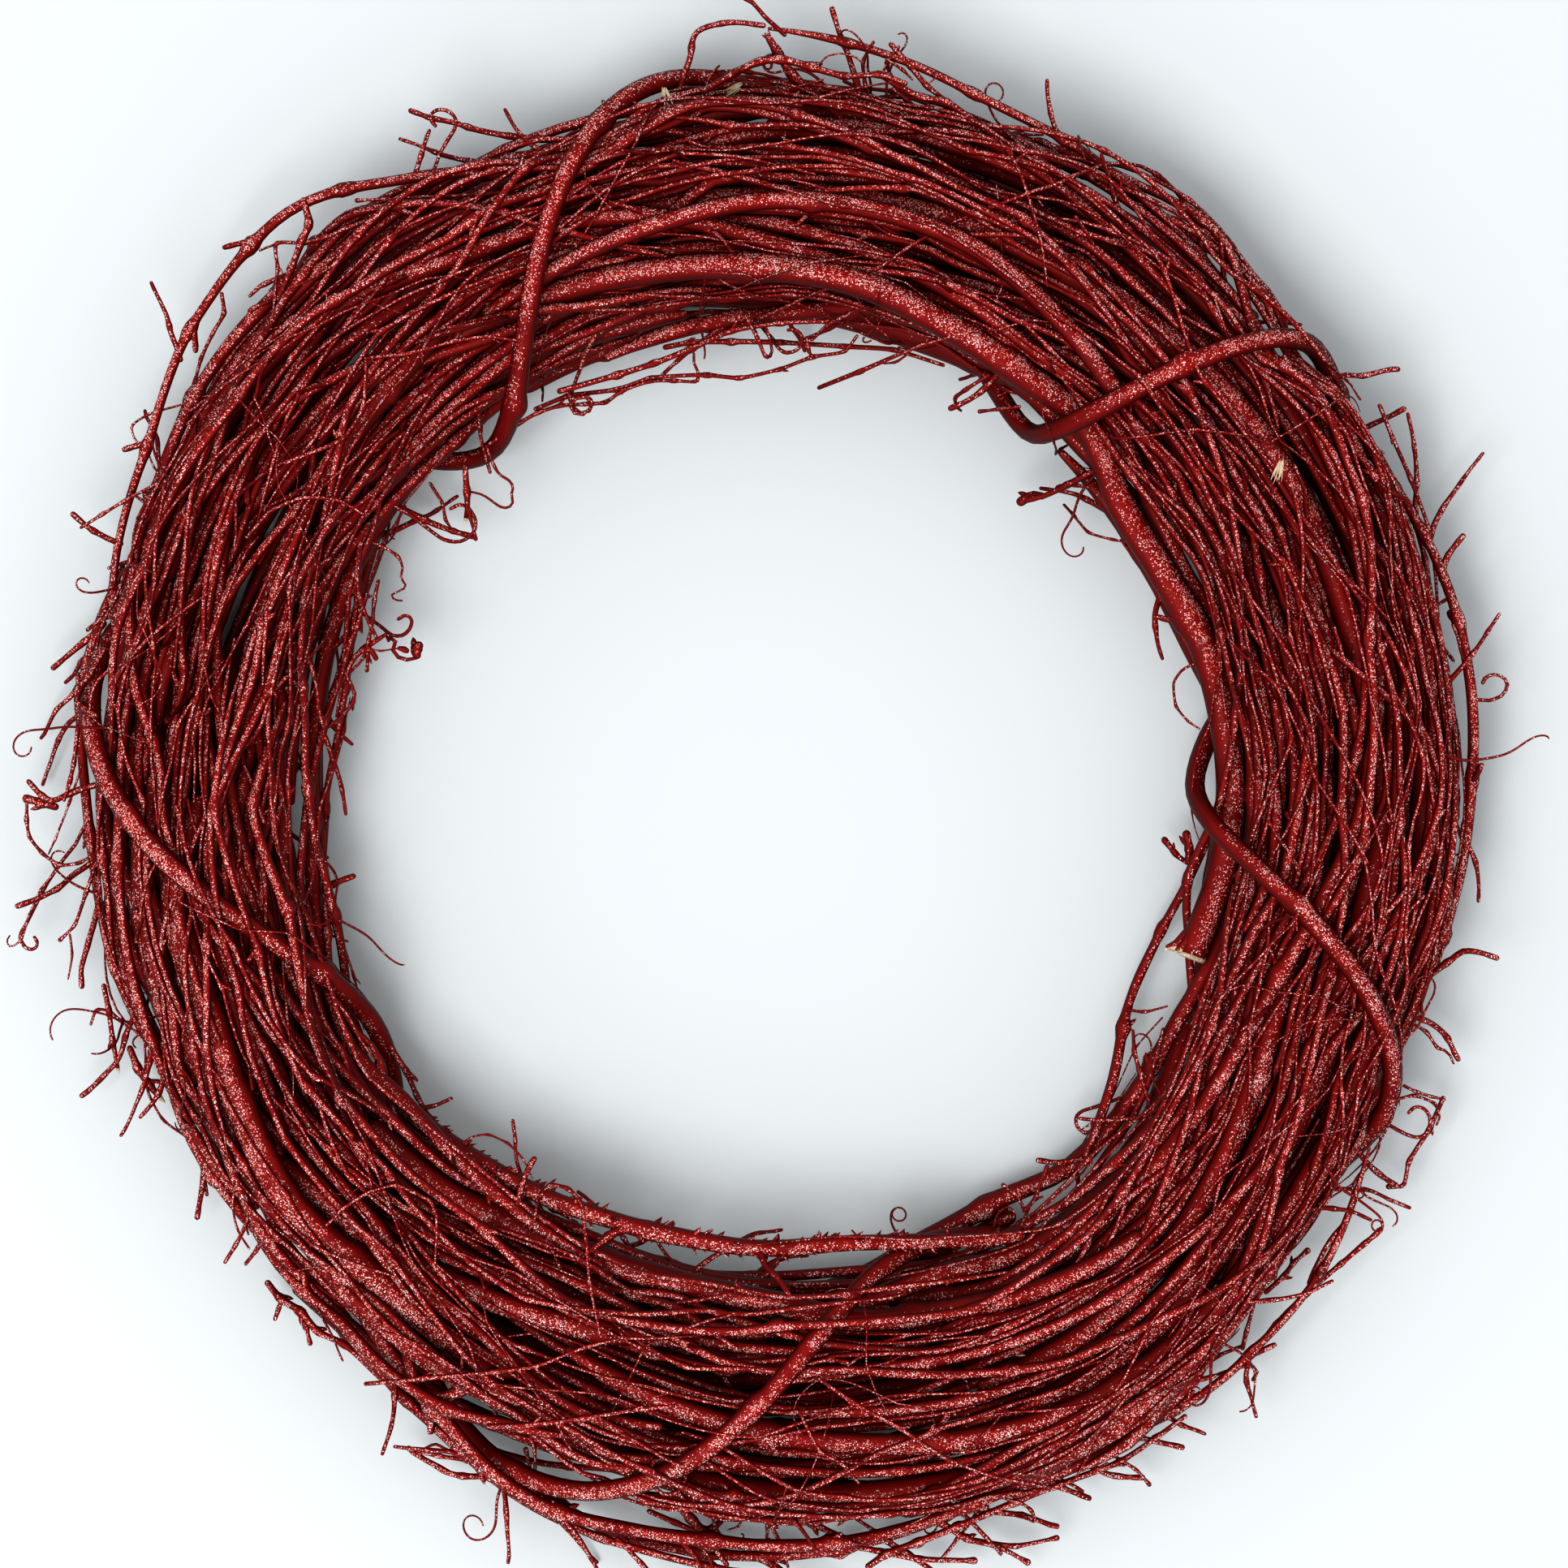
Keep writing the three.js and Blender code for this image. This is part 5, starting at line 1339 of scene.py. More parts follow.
looseVines["holeRight"] = [
    (0.4, 26, 18, "", [(1350, 602), (1326, 598), (1304, 599), (1296, 610), (1284, 611)]),
    (1, 18, 17, "bud", [(1284, 611), (1274, 610), (1264, 614), (1258, 618)]),
    (0.35, 16, 26, "", [(1311, 622), (1322, 634), (1341, 656), (1371, 665), (1402, 670)]),
    (0.35, 24, 22, "", [(1470, 818), (1456, 826), (1446, 841), (1449, 870), (1464, 889), (1478, 898)]),
    (0.9, 14, 15, "bud", [(1464, 1062), (1466, 1044), (1462, 1028)]),
    (0.7, 12, 14, "bud", [(1462, 1062), (1450, 1054), (1435, 1035)]),
    (0.4, 12, 16, "", [(1389, 1244), (1410, 1247), (1438, 1240)]),
    (0.24, 14, 6, "", [(1432, 1254), (1400, 1290), (1371, 1350), (1342, 1386), (1332, 1392), (1336, 1399),
        (1343, 1394), (1337, 1404), (1333, 1411)]),
    (0.5, 22, 24, "bud", [(1262, 1492), (1276, 1476), (1281, 1460), (1290, 1438)]),
    (0.45, 22, 24, "bud", [(1262, 1490), (1252, 1472), (1236, 1460)]),
    (0.6, 18, 20, "", [(1420, 1372), (1404, 1320), (1398, 1296), (1396, 1270)]),
]
looseVines["over"] = [
    (0.5, None, None, "", [(655, 1512), (662, 1480), (676, 1462), (700, 1466), (716, 1484), (722, 1530),
        (726, 1580), (740, 1648)]),
    (0.45, None, None, "", [(400, 1512), (420, 1492), (450, 1472), (484, 1462), (505, 1470), (528, 1482),
        (536, 1500), (534, 1560)]),
    (0.6, None, None, "", [(446, 1712), (520, 1702), (610, 1692), (660, 1686), (720, 1662), (760, 1652)]),
    (0.7, None, None, "", [(600, 1760), (660, 1756), (720, 1748), (780, 1738), (830, 1733)]),
    (0.6, None, None, "", [(1010, 1700), (1050, 1728), (1110, 1762), (1170, 1800), (1230, 1822),
        (1300, 1838)]),
    (0.5, None, None, "", [(985, 1742), (1010, 1790), (1040, 1808), (1058, 1830)]),
    (0.55, None, None, "", [(300, 660), (330, 628), (370, 612), (412, 614), (446, 632)]),
    (0.5, None, None, "", [(450, 440), (500, 436), (560, 420), (600, 414), (640, 420)]),
    (0.6, None, None, "", [(350, 570), (420, 540), (446, 500), (450, 440)]),
    (0.6, None, None, "", [(1010, 470), (1060, 452), (1140, 420), (1210, 402)]),
]
looseVines["deep"] = [
    (2.6, 12, 10, "", [(1663, 1321), (1604, 1428), (1527, 1524), (1455, 1592)]),
    (2.4, 11, 10, "", [(884, 1724), (999, 1721), (1126, 1703), (1248, 1661)]),
    (2.2, 9, 9, "", [(746, 1797), (637, 1762), (528, 1713), (433, 1645), (367, 1589)]),
    (1.9, 9, 11, "", [(1318, 232), (1444, 303), (1545, 390)]),
    (2.2, 9, 9, "", [(651, 474), (745, 432), (845, 403), (927, 395)]),
    (2.0, 10, 9, "", [(1243, 1500), (1150, 1543), (1091, 1561)]),
    (1.6, 9, 8, "", [(1736, 1244), (1692, 1351), (1635, 1452)]),
    (1.8, 8, 9, "", [(314, 1483), (261, 1404), (213, 1315)]),
]
looseVines["holeLeft"] = [
    (0.8, 34, 31, "pale", [(573, 576), (575, 606), (576, 624), (574, 638)]),
    (0.45, 32, 31, "bud", [(575, 612), (579, 636), (583, 650), (586, 664)]),
    (0.38, 33, 32, "curl", [(599, 550), (609, 574), (616, 585), (627, 592), (632, 600), (630, 610),
        (632, 618), (627, 625), (618, 625), (607, 618), (595, 610), (576, 605)]),
    (0.36, 28, 24, "curl", [(448, 664), (472, 674), (490, 686), (496, 700), (494, 711), (500, 723),
        (490, 729), (482, 734), (487, 739), (495, 740)]),
    (0.68, 24, 28, "curl", [(416, 848), (428, 829), (434, 814), (449, 799), (463, 790), (476, 782),
        (481, 787), (476, 791), (480, 785), (486, 786), (487, 793), (484, 801), (488, 808), (497, 812),
        (508, 813), (515, 808), (513, 801)]),
    (0.95, 28, 28, "bud", [(514, 807), (513, 802), (516, 796)]),
    (0.5, 28, 24, "", [(466, 716), (461, 740), (459, 765), (454, 790), (448, 810), (430, 830)]),
    (0.5, 26, 25, "bud", [(453, 796), (453, 812), (452, 826)]),
    (0.55, 26, 25, "bud", [(452, 796), (459, 804), (463, 811)]),
    (0.26, 26, 27, "", [(448, 798), (469, 802), (483, 800), (492, 799), (498, 801)]),
    (0.5, 27, 27, "bud", [(492, 799), (496, 800), (501, 802)]),
    (0.5, 25, 22, "", [(424, 824), (431, 841), (437, 852), (435, 864), (426, 878), (402, 898)]),
    (0.6, 29, 24, "", [(452, 732), (440, 772), (432, 790), (426, 812), (418, 841), (412, 858), (400, 886)]),
    (0.45, 22, 20, "", [(364, 1146), (380, 1148), (397, 1149), (407, 1152), (417, 1156), (428, 1160)]),
    (0.24, 24, 18, "", [(400, 1118), (408, 1130), (405, 1148), (403, 1160), (398, 1176)]),
]


def underPixel(pixels, heights):  # the place in the ring that the photograph shows at a pixel
    size = view["width"] / view["pixels"] * (view["height"] - heights) / (view["height"] - bundleHeight)
    away = (np.asarray(pixels, float) - view["pixels"] / 2) * (1, -1) * size[:, None]
    return np.column_stack([away + view["middle"] + ringMiddle[:2], heights])


def restHeights(points, radii, bend):  # how high a stem lies when it rests on the bundle
    angle, out, up = placeOf(points)
    up = np.full(len(points), ring["halfHeight"] * 0.9)
    for _ in range(5):
        reach = overMap[mapCells(pointsAt(angle, out, up))[0]]
        up = np.sqrt(np.maximum(reach ** 2 - out ** 2, 9))
    along = alongOf(points)
    apart = along[:, None] - along
    return bundleHeight + (up + radii - looseRules["sink"] - apart ** 2 / (2 * bend)).max(1)


def looseCourse(radius, low, high, end, pixels):
    pieces = len(pixels) - 1
    count = pieces * looseRules["parts"]
    heights = np.linspace(low or ring["tallest"], high or ring["tallest"], len(pixels))
    corners = underPixel(pixels, heights)
    smooth = smoothPath(corners, count)
    at = np.linspace(0, pieces, count + 1)
    straight = courseAt(at, np.arange(pieces + 1), corners)
    course = smooth if end == "curl" else smooth + looseRules["straight"] * (straight - smooth)
    if low is None:
        course[:, 2] = restHeights(course, radius, looseRules["bend"])
    along = alongOf(course)
    bends = along[looseRules["parts"]:-1:looseRules["parts"]]
    knots = bends[np.diff(bends, prepend=0) > looseRules["knotGap"]]
    return keepInBox(course, radius), along, knots if len(knots) else along[-1:] / 2


def growLoose(batch, ends, row, rng):
    radius, low, high, end, pixels = row
    course, along, knots = looseCourse(*row)
    reach = 0.7 + 0.6 * radius
    spots = ringSpots(along[-1], looseRules["step" if radius > 0.4 else "fineStep"], knots, reach)
    points = courseAt(spots, along, course)
    girths = radius * (1 - looseRules["taper"] * (spots / spots[-1]) ** 2)
    if end == "bud":
        girths = girths * (1 + looseRules["budSwell"] * np.exp(-((spots - spots[-1]) / (1.6 * radius)) ** 2))
    radii = knotted(girths, spots, knots, reach, looseRules, rng)
    turns = budTurns(knots, rng)
    addTube(batch, points, radii, looseRules["sides"], rng, 0, ("round", "cut" if end == "pale" else "round"),
            (knots, turns, 1 + 0.4 * radius))
    if radius > 0.45:
        growBuds(batch, points, radii, spots, knots, turns, loosePlaces, rng)
    tip, way = points[-1], unit(points[-1] - points[-2])
    if end == "pale":  # a slanting cut shows the wood
        addTube(ends, tip + way * radii[-1] * np.array([[-0.1], [0.9], [2.0], [2.6]]),
                radii[-1] * np.array([0.92, 0.8, 0.5, 0.25]), 8, rng)
    if end == "torn":
        for side in looseRules["splinters"]:
            lean = unit(way + side * np.array([-way[1], way[0], 0.3]))
            length = looseRules["splinter"] * rng.uniform(0.5, 1)
            addTube(batch, tip + lean * length * np.array([[-0.3], [0.3], [0.7], [1]]),
                    radii[-1] * np.array([0.6, 0.5, 0.35, 0.15]), 6, rng)


extraTwigRules = dict(twigRules, seed=5, radius=(0.4, 0.7), tip=0.3, length=(6, 20), lean=(8, 36),
                      tipLean=(0, 40), skew=(-2.2, 2.2), attempts=12, gap=0.1, beyond=2.5)
extraDraw = drawStream(extraTwigRules["seed"])
extras = fillers + laidVines
for number, extra in enumerate(extras):
    extra["id"] = len(canes) + number
    addStem(stems, extra["id"], extra["row"], extra["girths"])
for extra in extras + canes:
    growTwigs(extra, min(1, extra["twigs"]), extraDraw, stems, extraTwigRules)
print("twigs in all:", sum(len(cane["grown"]) for cane in canes + extras))


# Tendrils that stand free: wiry threads that run straight for a while and then coil up

tendrilRules = {"count": 44, "seed": 21, "radius": (0.24, 0.36), "length": (10, 34), "coil": (1.3, 4.2),
                "wobble": 0.16, "step": 0.9, "attempts": 12, "roots": (0.03, 0.97),
                "outside": 0.75, "under": 0.5}


def tendrilPath(start, heading, rules, rng):
    count = int(rng.uniform(*rules["length"]) / rules["step"])
    coil = 1 / rng.uniform(*rules["coil"])
    straight = rng.uniform(0.2, 0.6)
    wobble = rules["wobble"] * smoothNoise(np.arange(count), 6, rng)
    axis = np.array([0.4 * rng.normal(), 0.4 * rng.normal(), rng.choice((-1, 1))])
    points = [start]
    for n in range(count):
        curling = min(1, max(0, (n / count - straight) / 0.35))
        bend = rules["step"] * (coil * curling * curling * (1 + 0.5 * (n / count - straight)) + wobble[n])
        axis = unit(axis - heading * (axis @ heading) + 0.05 * rng.normal(size=3))
        heading = unit(heading * math.cos(bend) + np.cross(axis, heading) * math.sin(bend))
        points.append(points[-1] + heading * rules["step"])
    return keepInBox(np.array(points), 1)


def growTendrils(rules):
    rng = np.random.default_rng(rules["seed"])
    grown = []
    holders = canes + extras
    for _ in range(rules["count"]):
        for _ in range(rules["attempts"]):
            holder = holders[int(rng.integers(len(holders)))]
            at, way, girth = placeOnCane(holder, rng.uniform(*rules["roots"]) * holder["span"])
            outward = outwardFrom(at)
            angle, out, up = placeOf(at)
            if abs(out) < rules["outside"] * halfWidth(angle) or up < -rules["under"] * ring["halfHeight"]:
                continue
            heading = outward * rng.uniform(0.3, 1) + way * rng.uniform(-1, 1) + 0.4 * rng.normal(size=3)
            points = tendrilPath(at + outward * girth * 0.6, unit(heading), rules, rng)
            radii = np.linspace(min(0.5, rng.uniform(*rules["radius"]) * 1.25), 0.22, len(points))
            if hasRoom(points[3:], radii[3:], holder["id"], stems, dict(twigRules, gap=0)):
                grown.append((points, radii))
                addStem(stems, -1, points, radii)
                break
    return grown


tendrils = growTendrils(tendrilRules)
print("tendrils grown:", len(tendrils))


# Every stem as a fine tube

# Each style's values, in the order of styleParts. Lengths of a step, knots and spurs are in millimetres.
styleParts = ("sides", "step", "knots", "zigzag", "fullness", "uneven", "swell", "flute",
              "buds", "spurs", "spurLength")
styleRows = {
    "thick_cane": (16, 6, (46, 82), 0.5, 0.99, 0.05, 0.16, 0.035, 0.3, 0.25, (2.5, 6)),
    "cane": (12, 6, (40, 70), 0.6, 0.97, 0.06, 0.24, 0.04, 0.35, 0.25, (2, 6)),
    "thin_cane": (10, 6, (32, 58), 0.7, 0.93, 0.07, 0.34, 0.035, 0.4, 0.2, (2, 5)),
    "stray": (10, 3.5, (24, 44), 0.9, 0.93, 0.08, 0.5, 0.035, 0.5, 0.3, (2, 6)),
    "smooth": (16, 4, (60, 95), 0.5, 0.99, 0.035, 0.14, 0.025, 0.2, 0.2, (2, 5)),
    "filler": (8, 7, (34, 60), 0.5, 0.97, 0.07, 0.3, 0.035, 0.35, 0.12, (2, 5)),
    "slender": (8, 5.5, (26, 48), 0.6, 0.97, 0.09, 0.6, 0.0, 0.45, 0.1, (1.5, 4)),
    "wiry": (6, 5, (20, 38), 0.8, 1.0, 0.1, 0.75, 0.0, 0.45, 0.08, (1.5, 3)),
    "thread": (6, 2, (10, 20), 0.8, 1.0, 0.1, 0.35, 0.0, 0.0, 0.0, (1.5, 3)),
}
stemStyles = {name: dict(zip(styleParts, row)) for name, row in styleRows.items()}
placedStyles = {"cut_end_cane": "smooth", "upper_smooth_cane": "smooth", "lower_thick_cane": "smooth",
                "thorny_cane": "smooth", "inner_low_cane": "cane", "outer_left_cane": "stray",
                "bottom_outer_cane": "stray"}


def styleOf(name):
    family = name.rsplit("_", 1)[0]
    return stemStyles[placedStyles.get(name, family if family in stemStyles else "stray")]


seeds = {"canes": 100, "binding": 90, "extras": 500, "tendrils": 31, "thorns": 41}
thinning = {"over": 14, "tip": 0.5}  # a vine of the bundle thins out over its last few millimetres


def buildStem(batch, cane, rng):
    style = styleOf(cane["name"])
    points, radii, spots, knots, turns = (fineLaid if "course" in cane else fineCane)(cane, style, rng)
    if cane["name"] not in placedStyles:
        fromTip = np.minimum(spots, spots[-1] - spots)
        radii = radii * np.interp(fromTip, (0, thinning["over"]), (thinning["tip"], 1))
    reach = 1.2 + 0.4 * radii[0]
    ends = ("cut" if cane["name"] == "cut_end_cane" else "round", "round")
    addTube(batch, points, radii, style["sides"], rng, style["flute"], ends, (knots, turns, reach))
    growBuds(batch, points, radii, spots, knots, turns, style, rng)
    for twigPoints, twigRadii, kind in cane["grown"]:
        path, girth = fineTwig(twigPoints, twigRadii, rng, *((1.2, 0.1) if kind == "tendril" else (1.7, 0.3)))
        addTube(batch, path, girth, 6 if kind == "tendril" else 7, rng)
    cane["fine"] = (points, radii)
    return batch


batches = {}
for number, cane in enumerate(canes):
    batch = newBatch(cane["name"] + "_bark")
    batches[cane["name"]] = buildStem(batch, cane, np.random.default_rng(seeds["canes"] + number))

bindingStyle = dict(stemStyles["smooth"], knots=(55, 90), fullness=0.97, uneven=0.04, swell=0.2, reach=2.6)


def bindingCane(row):  # a smooth way through the binding's own corners
    style, rng = bindingStyle, np.random.default_rng(seeds["binding"])
    course = smoothPath(row, 8 * (len(row) - 1))
    along = alongOf(course)
    knots = knotSpots(along[-1], style["knots"], rng)
    reach = style["reach"]
    spots = ringSpots(along[-1], style["step"], knots, reach)
    points = courseAt(spots, along, course)
    radii = binding["radius"] * style["fullness"] * (1 + style["uneven"] * smoothNoise(spots, 12, rng))
    radii = radii * (1 + swellAt(spots, knots, reach, style["swell"] * rng.uniform(0.7, 1.3, len(knots))))
    points[:, 2] = np.maximum(points[:, 2], radii + 0.02)
    turns = rng.uniform(0, 2 * math.pi, len(knots))
    batch = newBatch("binding_vine_bark")
    addTube(batch, points, radii, style["sides"], rng, style["flute"], ("cut", "cut"), (knots, turns, reach))
    growBuds(batch, points, radii, spots, knots, turns, dict(style, spurs=0), rng)
    return batch


batches["binding_vine"] = bindingCane(bindingPath)

extraBatches = {}
for number, extra in enumerate(extras):
    family = extra["name"].split("_")[0]
    middle = extra.get("middle", (extra.get("first", 0) + extra["span"] / 2) * stationAngle / 2)
    quarter = int(middle / (2 * math.pi) % 1 * 4)
    name = f"{family}_vines_{'abcd'[quarter]}"
    batch = extraBatches.setdefault(name, newBatch(name))
    buildStem(batch, extra, np.random.default_rng(seeds["extras"] + number))

tendrilBatch = newBatch("tendrils")
tendrilDraw = np.random.default_rng(seeds["tendrils"])
for points, radii in tendrils:
    addTube(tendrilBatch, points, radii, 6, tendrilDraw)
extraBatches["tendrils"] = tendrilBatch
looseDraw = np.random.default_rng(looseRules["seed"])
cutEnds = newBatch("cut_ends")
for region, rows in looseVines.items():
    name = "loose_vines_" + region
    extraBatches[name] = newBatch(name)
    for row in rows:
        growLoose(extraBatches[name], cutEnds, row, looseDraw)
print("tubes made:", len(tubeLines))


# Bare wood shows where the thick cane was cut, and shreds of unpainted bark hang on

bareWood = {
    "proud": 0.9,
    "width": 0.93,
    "shreds": [(818, 104, -1.35), (912, 100, -2.7), (1577, 570, -1.9)],  # pixels, and a heading
    "fibres": 9,
    "fibreLength": (2.4, 5.4),
    "fibreRadius": 0.24,
    "fibreTaper": (0.8, 1.2, 1, 0.7, 0.3),
    "spread": 0.16,
    "lipTurns": (-30, 0, 28),
    "lipCourse": ((-1.7, 0.5), (-0.9, 0.85), (-0.3, 1.2), (0, 1.7)),  # along the cane and out of it, in radii
}


def cutFace(ends, points, radii, rng):  # the sawn end, a little proud of the bark
    way = unit(points[0] - points[1])
    shares = np.array([[-0.6], [0.2], [0.7], [1]])
    addTube(ends, points[0] + way * bareWood["proud"] * shares,
            radii[0] * bareWood["width"] * np.array([1, 1, 0.96, 0.86]), 14, rng, 0.03, ("round", "cut"))


def cutLip(batch, ends, points, radii, rng):  # where the cut tore the bark out towards the hole
    way = unit(points[0] - points[1])
    inward = -points[0] * (1, 1, 0)
    inward = unit(inward - way * (inward @ way))
    for turn in bareWood["lipTurns"]:
        aside = inward * math.cos(turn * degree) + np.cross(way, inward) * math.sin(turn * degree)
        reach = 1 - 0.25 * abs(turn) / 30
        course = [way * along + aside * out * reach for along, out in bareWood["lipCourse"]]
        lip = points[0] + radii[0] * np.array(course)
        addTube(batch, lip, radii[0] * np.array([0.42, 0.4, 0.3, 0.1]), 8, rng)
        addTube(ends, lip[1:] + way * 0.2 * radii[0], radii[0] * np.array([0.3, 0.24, 0.07]), 8, rng)


def growShreds(batch, rng):
    for x, y, heading in bareWood["shreds"]:
        around = [(x + i * 12, y + j * 12) for i in (-1, 0, 1) for j in (-1, 0, 1)]
        around = underPixel(around, np.full(9, 50.0))
        spot = np.array([*around[4, :2], restHeights(around, 0.5, looseRules["bend"]).max()])
        for _ in range(bareWood["fibres"]):
            turn = heading + bareWood["spread"] * rng.normal()
            way = np.array([math.cos(turn), math.sin(turn), rng.uniform(-0.1, 0.25)])
            length = rng.uniform(*bareWood["fibreLength"])
            bow = np.array([-way[1], way[0], 0.4]) * rng.normal() * 0.12 * length
            shares = np.linspace(0, 1, 5)[:, None]
            root = spot + rng.normal(0, 0.35, 3) * (1, 1, 0.3)
            path = root + way * length * shares + bow * shares * (1 - shares)
            radii = bareWood["fibreRadius"] * np.array(bareWood["fibreTaper"])
            addTube(batch, keepInBox(path, 0.3), radii, 5, rng)


cutCane = caneCalled("cut_end_cane")["fine"]
cutFace(cutEnds, *cutCane, looseDraw)
cutLip(batches["cut_end_cane"], cutEnds, *cutCane, looseDraw)
shreds = newBatch("bark_shreds")
growShreds(shreds, looseDraw)


# Thorns of the thorny cane

thornScales = {"count": 230, "height": (0.9, 1.9), "base": (0.45, 0.8), "sideways": 0.55}


def growThorns(batch, cane, rng):
    for n in range(thorn["count"]):
        at, way, girth = placeOnCane(cane, cane["span"] * (n + 0.5) / thorn["count"])
        outward = outwardFrom(at)
        turn = thorn["spread"] * (n % 3 - 1)
        heading = outward * math.cos(turn) + np.cross(way, outward) * math.sin(turn) + way * thorn["slant"]
        shares = np.array([[0], [0.4], [0.75], [1]])
        path = at + unit(heading) * (girth * 0.7 + (girth * 0.3 + thorn["height"]) * shares)
        addTube(batch, path, np.array([1.0, 0.7, 0.4, 0.12]), 6, rng)
    points, radii = cane["fine"]
    ways, side, third = tubeFrames(points)
    for _ in range(thornScales["count"]):
        i = int(rng.integers(2, len(points) - 2))
        turn = rng.uniform(0, 2 * math.pi)
        outward = math.cos(turn) * side[i] + math.sin(turn) * third[i]
        if abs(outward[2]) > thornScales["sideways"]:  # most stand out to the two sides
            continue
        height, base = rng.uniform(*thornScales["height"]), rng.uniform(*thornScales["base"])
        start = points[i] + (points[i + 1] - points[i]) * rng.random() + outward * radii[i] * 0.8
        heading = unit(outward + ways[i] * rng.uniform(0.3, 1.1))
        path = start + heading * height * np.array([[0], [0.35], [0.7], [1]]) * 1.2
        addTube(batch, path, base * np.array([1, 0.75, 0.4, 0.12]), 5, rng)


growThorns(batches["thorny_cane"], caneCalled("thorny_cane"), np.random.default_rng(seeds["thorns"]))

glitterAndShadeMap = makeGlitterAndShadeMap()
print("glitter map made")


# Materials

def fromHex(text):  # an sRGB hex colour, as linear
    parts = [int(text[i:i + 2], 16) / 255 for i in (1, 3, 5)]
    return (*[part / 12.92 if part <= 0.04045 else ((part + 0.055) / 1.055) ** 2.4 for part in parts], 1)


def addNode(tree, kind, inputs=None, output=0, **settings):  # gives back its output socket
    node = tree.nodes.new("ShaderNode" + kind)
    for name, value in settings.items():
        setattr(node, name, value)
    for socket, value in (inputs or {}).items():
        if isinstance(value, bpy.types.NodeSocket):
            tree.links.new(value, node.inputs[socket])
        else:
            node.inputs[socket].default_value = value
    return node.outputs[output] if node.outputs else None


def newMaterial(name):
    material = bpy.data.materials.new(name)
    material.use_nodes = True
    material.node_tree.nodes.clear()
    return material, material.node_tree


vinePaint = {
    "deep": "#350202",  # thin paint over brown bark, and painted shade on flanks and undersides
    "full": "#94130e",  # where the paint lies thick and faces up
    "roughness": 0.46,  # satin spray paint
    "fibre": 0.7,  # width of a strand of bark
    "fibreLength": 9,
    "fibreRelief": 0.12,
    "patch": 14,  # size of the patches where the spray reached more or less
    "clump": 5,  # size of the patches where more glitter or less has stuck
    "flake": 0.36,  # glitter of 0.2 mm is too fine to show, so it is drawn as coarse as this
    # the flakes' colours: red, and pale up to white as painted glints, the sparkle of the glitter in the
    # light
    "flakeAndGlintColours": ((0.0, "#8a120c"), (0.2, "#c43e34"), (0.4, "#f98a80"), (0.62, "#ffb8b0"),
                     (0.84, "#ffe0dc"), (1.0, "#ffffff")),
    "flakeRoughness": 0.35,
    "flakeMetal": 0.2,
    "flakeTilt": 0.8,
    "specular": 0.1,
    "density": 1.1,
    "outward": 0.36,  # the glitter lies a little to the outer side of each vine
}


